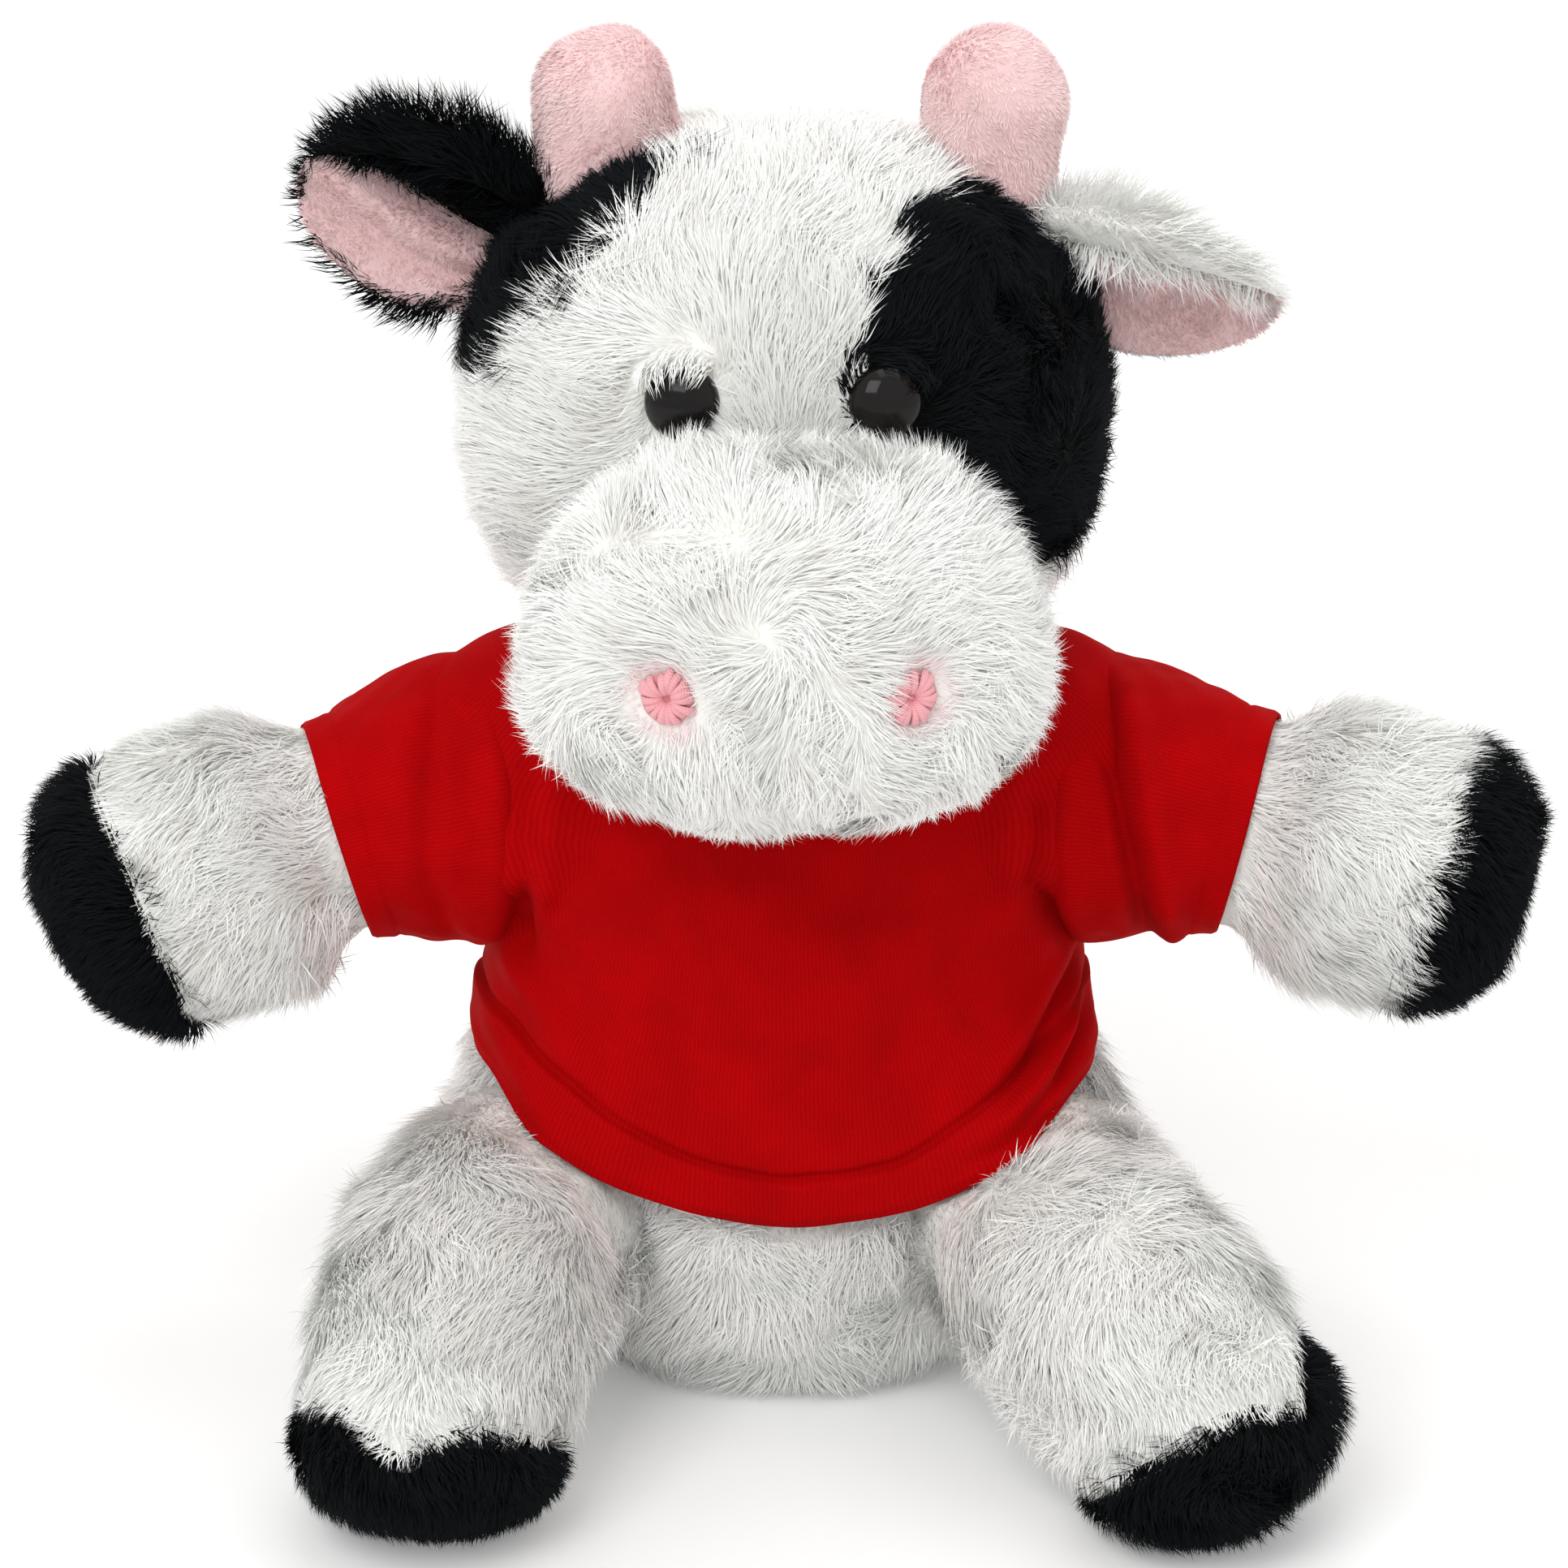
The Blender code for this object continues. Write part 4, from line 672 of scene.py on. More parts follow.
def makeTorso():
    turn = turns(160)
    middle, top = 70, 118
    height = np.concatenate([np.linspace(1.5, middle, 60), np.linspace(middle + 2, top, 14)])[:, None]
    origins = np.stack(np.broadcast_arrays(0 * turn, 0 * turn, height), -1)
    ways = np.stack(np.broadcast_arrays(np.cos(turn), np.sin(turn), 0 * height), -1)
    ways = ways + np.array([0, 0, 1]) * ease(height, middle, top)[..., None] * 1.2
    # inside the jersey the skin lies deeper
    level = -torso["underJersey"] * ease(height - hemCurve(turn, 2), -4, 2)
    rings = withPoles(castOut(np.minimum(origins, [1, 1, 84.0]), unit(ways),
                              lambda points: bodyField(points, hipBalls), level))

    def flow(points, normals):
        return np.array([0, 0, -1.0]) + 0.35 * normals

    def pile(points):
        below = hemCurve(np.arctan2(points[:, 1], points[:, 0]), 2) - points[:, 2]
        beside = ease(np.abs(points[:, 0]), 40, 47)
        # round the neck, inside the collar, a ring of pile fills the gap under the head
        neck = np.hypot(*(points[:, :2] / torso["neckRadii"]).T)
        collar = ease(points[:, 2], 99, 103) * ease(neck, 0.35, 0.5) * (1 - ease(neck, 0.9, 0.97))
        collar = torso["collarPile"] * collar
        return np.maximum(ease(below, -1, 5) * (1 + 0.35 * beside), collar)

    def stand(points):
        beside = torso["stand"]["beside"] * ease(np.abs(points[:, 0]), 40, 47)
        return beside + torso["stand"]["neck"] * ease(points[:, 2], 100, 104)

    coat = makeCoat("torsoPlush", rings, whitePlush, flow, pile, 140, {"pile": torso["pile"]}, stand=stand)
    dress(coat, "white_plush", "torso", "torso_skin", "torso_fill", "seat_pellet_bag", fill=0.8)


# Head

head = {"centre": np.array([0, -4, 162.0]), "halves": np.array([48.5, 42, 42]), "power": 2.3}
muzzle = {"centre": np.array([0, -57, 138.0]), "halves": np.array([38, 28, 27.0]), "power": 2.3,
          "jowl": 0.07, "crease": 2.4, "dimple": 2.0, "whorl": np.array([-3, -84, 148.0]), "stand": 42}
# each patch is what lies inside an ellipsoid with this centre and these half axes, in mm
patches = {
    "eye": (np.array([45.5, -37, 174.0]), np.array([35, 48, 35.0])),
    "crown": (np.array([-167, -20, 308.7]), np.array([184, 85, 184.0])),
}
# share: how far out and up on the head; lid: how far the pile over each eye leans outward
eyes = {"share": (0.31, 0.235), "radius": 5.7, "rim": 0.8, "dome": 3.6, "shank": 1.7,
        "lid": {"left": 0.7, "right": -0.2}, "lidStand": 46}
# left and right: how far out on the muzzle; thread: its half width in the middle and the growth to the rim
nostrils = {"left": 0.49, "right": 0.45, "radius": 4.2, "stitches": 17, "bow": 1.9, "sink": 0.9,
            "thread": (0.36, 0.42)}


def eggRings(shape, rows, columns):
    # an egg of a given squareness: |x|^p + |y|^p + |z|^p = 1, scaled by its halves
    polar = np.linspace(0, np.pi, rows)[:, None]
    turn = turns(columns)
    ball = np.stack([np.sin(polar) * np.cos(turn), np.sin(polar) * np.sin(turn),
                     np.cos(polar) + 0 * turn], -1)
    ball = ball / (np.abs(ball) ** shape["power"]).sum(axis=-1, keepdims=True) ** (1 / shape["power"])
    ball[..., 0] *= 1 - shape.get("jowl", 0) * ball[..., 2]
    return ball * shape["halves"] + shape["centre"]


def eggField(points, shape):
    # about how far outside the egg a point is, in mm
    share = (points - shape["centre"]) / shape["halves"]
    share[..., 0] /= 1 - shape.get("jowl", 0) * np.clip(share[..., 2], -1, 1)
    level = (np.abs(share) ** shape["power"]).sum(axis=-1) ** (1 / shape["power"])
    return (level - 1) * shape["halves"].mean()


def frontOf(shape, xShare, zShare):
    # the point on the egg's front that far out and up, and its normal
    power = shape["power"]
    depth = (1 - abs(xShare) ** power - abs(zShare) ** power) ** (1 / power)
    spot = np.array([xShare, -depth, zShare])
    slope = np.sign(spot) * np.abs(spot) ** (power - 1) / shape["halves"]
    return shape["centre"] + spot * shape["halves"], unit(slope)


def patchField(points, patch):
    # about how far outside the patch a point is, in mm
    centre, radii = patches[patch]
    level = lengthOf((points - centre) / radii)
    return (level - 1) * radii[[0, 2]].min()


eyeSpots = {side: frontOf(head, sign * eyes["share"][0], eyes["share"][1]) for side, sign in sides.items()}
nostrilSpots = {side: frontOf(muzzle, sign * nostrils[side], 0.0) for side, sign in sides.items()}
# share: how far out on the head; lean in degrees; sink in mm
horns = {"left": {"share": 0.64, "lean": 7.0, "sink": 0.0},
         "right": {"share": 0.56, "lean": 3.0, "sink": 2.4}}
hornShape = {"radius": 11.2, "height": 24.0, "puff": 0.5}
for side, horn in horns.items():
    rise = (1 - horn["share"] ** head["power"]) ** (1 / head["power"])
    horn["root"] = head["centre"] + np.array([sides[side] * horn["share"], 0, rise]) * head["halves"]
    lean = np.radians(horn["lean"])
    horn["axis"] = np.array([sides[side] * np.sin(lean), 0, np.cos(lean)])


def lidShare(points):
    # 1 just above each eye, and beside the left one, where the pile hangs over the eye's edge
    share = np.zeros(len(points))
    for side, (spot, _) in eyeSpots.items():
        away = points - spot
        gap = lengthOf(away)
        toward = dot(away, unit(np.array([eyes["lid"][side], 0, 1.0])))[:, 0] / np.maximum(gap, 1)
        share = np.maximum(share, ease(toward, 0.3, 0.75) * (1 - ease(gap, 7, 10)))
    return share


def clearOfFittings(points):
    # no pile under the eyes and horns, short pile beside the eyes
    share = np.ones(len(points))
    for spot, _ in eyeSpots.values():
        gap = lengthOf(points - spot)
        share *= ease(gap, 5.0, 5.2) * (0.4 + 0.6 * ease(gap, 6, 12))
    share = np.maximum(share, 0.92 * lidShare(points) * (share > 0.05))
    for horn in horns.values():
        away = points - horn["root"]
        gap = lengthOf(away - horn["axis"] * dot(away, horn["axis"]))
        share *= ease(gap, 10.5, 11.5) * (0.55 + 0.45 * ease(gap, 11, 18))
    return share * ease(eggField(points, muzzle), -4, -2)


def headFlow(points, normals):
    # away from the bridge of the nose, and over the eyes' upper rims like a lid
    lie = unit(points - np.array([0, -52, 160.0]))
    lid = lidShare(points)[:, None]
    for spot, _ in eyeSpots.values():
        away = points - spot
        near = 1 - ease(np.linalg.norm(away, axis=-1, keepdims=True), 7, 13)
        lie = lie * (1 - 0.8 * near * lid) + unit(away) * near * (1.2 * (1 - lid) - 2.6 * lid)
    return lie


def headStand(points):
    # degrees that the pile of the lids stands up more
    return eyes["lidStand"] * lidShare(points)


def patchEdge(points):
    # the same distances with a ragged edge
    noise = 0.9 * waves(points, 9, 21) + 0.4 * waves(points, 3.5, 22)
    return patchField(points, "eye") + noise - 0.5, patchField(points, "crown") + noise - 1.0


def makeHead():
    rings = eggRings(head, 90, 140)
    rings = rings + gridNormals(rings) * 0.8

    def whitePile(points):
        eye, crown = patchEdge(points)
        return clearOfFittings(points) * (np.minimum(eye, crown) > -0.5) * (points[:, 2] > 121)

    def blackPile(which):
        return lambda points: clearOfFittings(points) * (patchEdge(points)[which] < 0.5)

    def outsidePatches(points):
        return np.minimum(patchField(points, "eye"), patchField(points, "crown"))

    coat = makeCoat("headPlush", rings, whitePlush, headFlow, whitePile, 150,
                    hold=lambda points: outsidePatches(points) > -2.5, stand=headStand)
    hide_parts("head_skin", "head_fill")
    raised = head["centre"] + (rings - head["centre"]) * 1.006
    for index, patch in enumerate(("eye", "crown")):
        black = makeCoat(f"{patch}PatchPlush", raised, blackPlush, headFlow, blackPile(index), 151,
                         {"pile": 8.5, "swirl": 0.9, "pull": 0.5},
                         hold=lambda points: patchField(points, patch) < 0.0, stand=headStand)
        dress(black, "black_plush", "head", f"{patch}_patch", fill=0.8)
    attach(coat, "head")


def makeMuzzle():
    rings = eggRings(muzzle, 80, 130)
    # the middle seam and the mouth draw the plush in below the nose
    offset = rings - muzzle["centre"]
    front = ease(-offset[..., 1], 5, 24)
    crease = np.exp(-(rings[..., 0] / 4.5) ** 2) * ease(-offset[..., 2], -12, 12) * front
    normals = gridNormals(rings)
    rings = rings - normals * (muzzle["crease"] * crease)[..., None]
    for spot, _ in nostrilSpots.values():
        gap = lengthOf(rings - spot)
        rings = rings - normals * (muzzle["dimple"] * np.exp(-(gap / 5.5) ** 2))[..., None]

    def flow(points, normals):
        # a whorl between the eyes and the nostrils, from which the pile runs to all sides
        away = points - muzzle["whorl"]
        gap = np.linalg.norm(away, axis=-1, keepdims=True)
        lie = unit(away) * ease(gap, 0, 14) + unit(np.cross(away, normals)) * 1.6 * np.exp(-(gap / 11) ** 2)
        lie = lie + np.array([0, 0.4, -0.15])
        for spot, _ in nostrilSpots.values():
            away = points - spot
            gap = np.linalg.norm(away, axis=-1, keepdims=True)
            lie = lie + unit(away) * 0.9 * (1 - ease(gap, 5, 12))
        return lie

    def pile(points):
        share = ease(eggField(points, head), -5, -2) * (points[:, 2] > 112)
        share = share * (0.62 + 0.38 * ease(points[:, 2], 114, 128))
        share = share * (1 + 0.25 * ease(points[:, 2], 152, 160) * ease(points[:, 0], 0, 18))
        for spot, _ in nostrilSpots.values():
            gap = lengthOf(points - spot)
            share = share * ease(gap, 3.9, 4.3) * (0.42 + 0.58 * ease(gap, 4.3, 9))
        return share

    def dye(points):
        # the pink thread's colour has bled a little into the pile round it
        share = np.zeros(len(points))
        for spot, _ in nostrilSpots.values():
            gap = lengthOf(points - spot)
            share = np.maximum(share, 0.25 * (1 - ease(gap, 4.4, 6.5)))
        return share

    def stand(points):
        # where the muzzle meets the face its pile stands up before the eyes
        return muzzle["stand"] * ease(points[:, 2], 153, 161) * ease(points[:, 1], -72, -60)

    coat = makeCoat("muzzlePlush", rings, whitePlush, flow, pile, 160,
                    {"pile": 8.0, "swirl": 1.0, "swirlSizes": (24.0, 9.0)}, dye=dye, stand=stand)
    dress(coat, "white_plush", "head", "muzzle_skin", fill=0.85)


def turnedRings(start, axis, profile, columns):
    # a profile of (distance along the axis, radius) rows turned round it
    axis = unit(np.array(axis, float))
    helper = np.array([0, 0, 1.0]) if abs(axis[2]) < 0.9 else np.array([0, 1.0, 0])
    side = unit(np.cross(helper, axis))
    up = np.cross(axis, side)
    turn = turns(columns)[None, :, None]
    profile = np.array(profile)
    ring = side * np.cos(turn) + up * np.sin(turn)
    return start + axis * profile[:, 0, None, None] + profile[:, 1, None, None] * ring


def solidRings(name, parts, material, maps=None):
    # shapes made of closed rings, as one piece
    points, quads, triangles = [], [], []
    total = 0
    for rings in parts:
        spots = rings.reshape(-1, 3)
        fill = faceOut(spots, *closedFaces(*rings.shape[:2]))
        points.append(spots)
        quads.append(fill[0] + total)
        triangles.append(fill[1] + total)
        total += len(spots)
    piece = makePiece(name, np.concatenate(points), np.concatenate(quads), np.concatenate(triangles), maps)
    piece.data.materials.append(material)
    return piece


def makeEyes():
    # Safety eye: moulded acrylic or ABS, polished, so it is nearly black with sharp reflections.
    gloss = mottle(*newMaterial("glossyEyePlastic", 0.1, Specular_IOR_Level=0.22), {"Scale": 60.0},
                   [(0.3, "#0E0B0A"), (0.7, "#191311")])
    radius, shank, top = eyes["radius"], eyes["shank"], eyes["rim"] + eyes["dome"]
    for side, (spot, normal) in eyeSpots.items():
        profile = [(-9, 0), (-9, shank), (0, shank), (0.0, radius - 0.3), (0.25, radius)]
        profile += [(eyes["rim"] + eyes["dome"] * np.sin(a), radius * np.cos(a))
                    for a in np.linspace(0, np.pi / 2, 20)[:-1]] + [(top, 0)]
        rings = turnedRings(spot + normal * 0.3, normal, profile, 56)
        eye = solidRings(f"eye{side.capitalize()}Dome", [rings], gloss)
        dress(eye, "eye_gloss", "head", f"eye_{side}")


def threadMaterial():
    # Rayon embroidery thread: fine twisted strands with a low silky shine.
    material, body = newMaterial("pinkEmbroideryThread", 0.5, Sheen_Weight=0.3, Specular_IOR_Level=0.35)
    place = addNode(material, "UVMap", {"uv_map": "thread"})
    wave = addNode(material, "TexWave", {"Scale": 2.2, "Distortion": 1.5, "wave_profile": "SIN",
                                                   "bands_direction": "DIAGONAL"},
                   {"Vector": place.outputs[0]})
    # the colour follows the bump's bands: darker in their troughs, painted shade, and paler on their crests,
    # painted highlight
    colour = addNode(material, "ValToRGB", {"stops": [(0.0, "#EA96A0"), (1.0, "#F9BCC1")]},
                     {0: wave.outputs["Fac"]})
    bump = addNode(material, "Bump", {"Strength": 0.35, "Distance": 0.0002},
                   {"Height": wave.outputs["Fac"]})
    feed(material, body, Base_Color=colour.outputs[0], Normal=bump.outputs[0])
    return material


def makeNostrils():
    # satin stitches laid from a pierced middle to the rim, each a bowed tube of thread, on a disc
    thread = threadMaterial()
    count, steps, sectors = nostrils["stitches"], 9, 8
    thin, growth = nostrils["thread"]
    for side, (spot, normal) in nostrilSpots.items():
        rng = np.random.default_rng(31 if side == "left" else 32)
        angle = turns(count) + rng.normal(0, 0.06, count)
        reach = nostrils["radius"] * rng.uniform(0.9, 1.12, count)
        right = unit(np.cross(np.array([0, 0, 1.0]), normal))
        up = np.cross(normal, right)
        run = np.linspace(0, 1, steps)
        out = (0.55 + (reach[:, None] - 0.55) * run)[..., None]
        bow = nostrils["bow"] * np.sin(np.pi * (0.12 + 0.80 * run)) ** 0.8 - nostrils["sink"]
        rise = bow[None, :, None] + rng.normal(0, 0.12, (count, 1, 1))
        ways = right * np.cos(angle)[:, None] + up * np.sin(angle)[:, None]
        line = spot - normal * 0.8 + ways[:, None] * out + normal * rise
        across = np.cross(normal, ways)[:, None, None, :]
        turn = turns(sectors)[None, None, :, None]
        thick = ((thin + growth * run) * np.array([0.55] + [1] * 7 + [0.5]))[None, :, None, None]
        tubes = line[:, :, None, :] + thick * (across * np.cos(turn) * 0.95 + normal * np.sin(turn) * 0.8)
        disc = turnedRings(spot - normal * 0.8, normal,
                           [(-0.6, 0), (-0.6, 3.6), (0.1, 3.9), (0.4, 2.0), (-0.2, 0.5), (-0.4, 0)], 24)
        share = np.linspace(0, 1, steps + 2)[:, None]
        marks = [np.stack(np.broadcast_arrays(share * 4 + index, np.arange(sectors) / sectors), -1)
                 for index in range(count)]
        marks = [part.reshape(-1, 2) for part in marks] + [np.zeros((disc.size // 3, 2))]
        parts = [withPoles(tube) for tube in tubes] + [disc]
        piece = solidRings(f"nostril{side.capitalize()}Stitches", parts, thread,
                           {"thread": np.concatenate(marks)})
        dress(piece, "pink_thread", "head", f"nostril_{side}")


minkyLook = {"density": 9.0, "pile": 1.5, "width": 0.18, "lean": (30.0, 66.0), "swirl": 0.6,
             "swirlSizes": (16.0, 5.0), "clump": 0.9, "pull": 0.6}


def makeHorns():
    radius = hornShape["radius"]
    for side, horn in horns.items():
        height = hornShape["height"] - horn["sink"]
        profile = [(-7, 0), (-7, radius)] + [(x, radius) for x in np.linspace(-5, height - radius, 12)[:-1]]
        profile += [(height - radius + radius * np.sin(a), radius * np.cos(a))
                    for a in np.linspace(0, np.pi / 2, 18)[:-1]] + [(height, 0)]
        rings = turnedRings(horn["root"], horn["axis"], profile, 72)
        puff = hornShape["puff"] * waves(rings, 16, 61 + sides[side])
        puff[[0, -1]] = puff[[0, -1]].mean(axis=1, keepdims=True)
        rings = rings + gridNormals(rings) * puff[..., None]
        coat = makeCoat(f"horn{side.capitalize()}Minky", rings, pinkMinky,
                        lambda points, normals: np.array([sides[side] * 0.5, 0, -0.6]) + 0 * points,
                        lambda points: 1.0 * (eggField(points, head) > -1), 62 + sides[side], minkyLook)
        dress(coat, "pink_minky", "head", f"horn_{side}", f"horn_{side}_fill", fill=0.9)


# rise: the ear's own slope and face: how far its front looks up, in degrees; plump in mm;
# fringe and climb: how far up the leaf the lining reaches at the root and at the tip;
# bare: how little pile the lower edge has; roll: the lining's rolled rim in mm; fade: mm along the ear
ears = {
    "left": {"length": 37.0, "rise": -14.0, "face": -42.0, "plump": 4.5, "fringe": 0.35,
             "climb": 0.4, "bare": 0.75, "roll": 0.8, "fade": (6, 37)},
    "right": {"length": 35.0, "rise": 20.0, "face": -18.0, "plump": 7.0, "fringe": 0.0,
              "climb": 0.8, "bare": 0.0, "roll": 2.6, "fade": (22, 42)},
}
earShape = {"halfHeight": 17.0, "root": 4.0, "rootShare": 0.5, "cup": 62.0, "swell": 0.6, "back": 2.6}


def leafHalf(share, least):
    # half the leaf's width: it opens from the root and rounds off at the tip
    opened = np.sin(np.minimum(1, share / earShape["swell"]) * np.pi / 2)
    swell = earShape["rootShare"] + (1 - earShape["rootShare"]) * opened
    return earShape["halfHeight"] * swell * np.sqrt(np.maximum(least, 1 - share ** 3))


def makeEar(side):
    ear, sign, root = ears[side], sides[side], pivots[f"ear_flop_{side}"]
    rise, face = np.radians(ear["rise"]), np.radians(ear["face"])
    out = np.array([sign * np.cos(rise), 0, np.sin(rise)])
    front = np.array([0, -np.cos(face), np.sin(face)])
    front = unit(front - out * dot(front, out))
    across = np.cross(front, out) * sign
    cup = np.radians(earShape["cup"])

    def upperEdge(share):
        # how far up the leaf the lining reaches: further towards the tip
        return ear["fringe"] + ear["climb"] * share ** 2

    def leaf(share, over, size, lift, longer):
        # a leaf bent round into a cup, share 0 at the root to 1 at the tip, over -1 to 1 across
        reach = ear["length"] * (1 + size) / 2 + longer
        half = size * leafHalf(share, 0)
        width = half * np.sin(cup * over) / cup
        depth = half * (1 - np.cos(cup * over)) / cup + lift
        length = -earShape["root"] + (reach + earShape["root"]) * share
        return root + out * length[..., None] + across * width[..., None] + front * depth[..., None]

    def shell(size, low, high, rows, columns, upper=lambda share: 1.0, longer=0.0, roll=0.0):
        # a closed shell: rings round the leaf's section, its front face hollow and its back full
        share = np.linspace(0.0, 0.985, rows)[:, None]
        turn = turns(columns)[None, :]
        over = np.cos(turn)
        thick = low + (high - low) * (1 + np.sin(turn)) / 2
        lift = thick * (1 - over ** 8) * (1 - (share / 1.02) ** 6)
        # a rolled rim along the upper edge with a hollow below it
        rim = np.exp(-((over - 0.55) / 0.28) ** 2) - np.exp(-((over + 0.1) / 0.25) ** 2)
        lift = lift + roll * rim * np.sin(np.pi * share) ** 0.6 * (1 + np.sin(turn)) / 2
        span = -1 + (1 + over) * (1 + upper(share)) / 2
        return withPoles(leaf(share + 0 * turn, span + 0 * share, size, lift, longer))

    def flow(points, normals):
        return out * 0.8 + unit(points - (root + out * ear["length"] * 0.55)) * 0.7

    def backPile(points):
        # none on the hollow face where the lining lies, longest along the upper edge
        away = points - root
        inner, width, length = [dot(away, way)[:, 0] for way in (front, across, out)]
        reach = np.clip(length / ear["length"], 0, 1)
        half = leafHalf(reach, 0.02)
        bend = np.arcsin(np.clip(width * cup / half, -0.97, 0.97))
        middle = half * (1 - np.cos(bend)) / cup
        rim = half * np.sin(cup) / cup
        hairy = (inner < middle - 1.0) | (width > upperEdge(reach) * rim)
        hairy = hairy | (width < -0.93 * rim) | (reach > 0.95)
        longer = 1 + 0.35 * ease(width, 0.3 * rim, rim) - 0.4 * ease(reach, 0.75, 1)
        return hairy * longer * (1 - ear["bare"] * (width < -0.8 * rim))

    rings = shell(1.0, -earShape["back"], -0.3, 46, 64)
    # the plush is plumpest along the upper edge, next to the head
    away = rings - root
    plump = ease(dot(away, across)[..., 0], -2, 9) * (1 - ease(dot(away, out)[..., 0], *ear["fade"]))
    behind = ease(dot(gridNormals(rings), across - front * 0.6)[..., 0], -0.2, 0.6)
    rings = rings + (across * 0.8 - front * 0.3) * (ear["plump"] * plump * behind)[..., None]
    coat = makeCoat(f"ear{side.capitalize()}Plush", rings, blackPlush if side == "right" else whitePlush,
                    flow, backPile, 70 + sign, {"pile": 6.5, "lean": (30.0, 70.0), "density": 3.4})
    dress(coat, "black_plush" if side == "right" else "white_plush", f"ear_{side}", f"ear_{side}_back",
          fill=0.3)
    lining = makeCoat(f"earLining{side.capitalize()}Minky",
                      shell(0.97, 0.3, 2.4, 40, 60, upperEdge, 1.2, ear["roll"]), pinkMinky, flow,
                      lambda points: np.ones(len(points)), 75 + sign, minkyLook)
    dress(lining, "pink_minky", f"ear_{side}", f"ear_{side}_lining", fill=0.2)


# Tail

tail = {"height": 30.0, "length": 36.0, "radius": 4.5, "tipRadius": 3.6, "tuft": 21.0,
        "tuftRadius": 8.0, "heading": (90, 35), "pitch": (8, -28)}


def makeTail():
    inside = tail["radius"] * 2
    start = np.array([0, pivots["tail_swing"][1] - inside, tail["height"]])
    length = tail["length"] + inside
    path = bentPath(start, tail["heading"], tail["pitch"], length, inside)

    def flow(points, normals):
        return path(along(path, points, length))[1]

    steps = np.linspace(inside * 0.6, length, 24)[:, None]
    radius = tail["radius"] + (tail["tipRadius"] - tail["radius"]) * steps / length - 1.0
    cord = makeCoat("tailCordPlush", withPoles(around(path, steps, radius, 32)), whitePlush, flow,
                    lambda points: np.ones(len(points)), 80, {"pile": 4.5, "density": 3.6, "swirl": 0.4})
    dress(cord, "white_plush", "tail", "tail_cord", fill=0.8)
    share = np.linspace(0.02, 0.98, 20)[:, None]
    steps = length + 0.3 + tail["tuft"] * share
    radius = np.maximum(tail["tuftRadius"] * np.sin(np.pi * share ** 0.8) ** 0.7 - 1.5, 0.6)
    tuft = makeCoat("tailTuftPlush", withPoles(around(path, steps, radius, 40)), blackPlush, flow,
                    lambda points: np.ones(len(points)), 82,
                    {"pile": 8.0, "density": 4.0, "swirl": 0.3, "lean": (30.0, 84.0)})
    dress(tuft, "black_plush", "tail", "tail_tuft", fill=0.8)


# Jersey

knit = {"wale": 0.66, "course": 0.55}  # mm between ribs and between rows; the real gauge is a little finer


def jerseyMaterial(name, ribs):
    # Cotton single jersey, dyed red: fine upright ribs of loops, matt, with a soft nap at its edges.
    material, body = newMaterial(name, 0.85, Sheen_Weight=0.08, Sheen_Roughness=0.45,
                                 Sheen_Tint=shade("#FF2A20"), Specular_IOR_Level=0.05)
    place = addNode(material, "UVMap", {"uv_map": "cloth"})
    parts = addNode(material, "SeparateXYZ", {}, {0: place.outputs[0]})
    sway, fuzz, patchy = [addNode(material, "TexNoise", {"Scale": scale, "Detail": detail},
                                  {"Vector": place.outputs[0]})
                          for scale, detail in ((0.25, 2.0), (1.6, 4.0), (0.09, 3.0))]
    shifted = addNode(material, "Math", {"operation": "MULTIPLY_ADD", 1: 0.8},
                      {0: sway.outputs["Fac"], 2: parts.outputs["X"]})
    # height of the loops = sine(2 pi x / rib) + 0.35 sine(2 pi y / course) + 2.6 fuzz
    ripples = []
    for output, step in ((shifted.outputs[0], ribs), (parts.outputs["Y"], knit["course"])):
        turn = addNode(material, "Math", {"operation": "MULTIPLY", 1: 2 * np.pi / step},
                       {0: output})
        ripples.append(addNode(material, "Math", {"operation": "SINE"}, {0: turn.outputs[0]}))
    both = addNode(material, "Math", {"operation": "MULTIPLY_ADD", 1: 0.35},
                   {0: ripples[1].outputs[0], 2: ripples[0].outputs[0]})
    level = addNode(material, "Math", {"operation": "MULTIPLY_ADD", 1: 2.6},
                    {0: fuzz.outputs["Fac"], 2: both.outputs[0]})
    height = addNode(material, "MapRange", {1: -1.2, 2: 4.0}, {0: level.outputs[0]})
    # the colour follows this height: darker in the hollows between ribs and rows, painted shade, and varied at
    # random by the fuzz
    loops = addNode(material, "ValToRGB",
                    {"stops": [(0.15, "#A60003"), (0.5, "#B40005"), (0.9, "#BF0508")]},
                    {0: height.outputs[0]})
    broad = addNode(material, "ValToRGB", {"stops": [(0.35, "#F0F0F0"), (0.65, "#FFFFFF")]},
                    {0: patchy.outputs["Fac"]})
    colour = addNode(material, "Mix", {"data_type": "RGBA", "blend_type": "MULTIPLY", 0: 1.0},
                     {6: loops.outputs[0], 7: broad.outputs[0]})
    bump = addNode(material, "Bump", {"Strength": 0.3, "Distance": 0.00018},
                   {"Height": height.outputs[0]})
    feed(material, body, Base_Color=colour.outputs[2], Normal=bump.outputs[0])
    return material


redJersey = jerseyMaterial("redCottonJersey", knit["wale"])
redRib = jerseyMaterial("redRibKnit", 1.6)

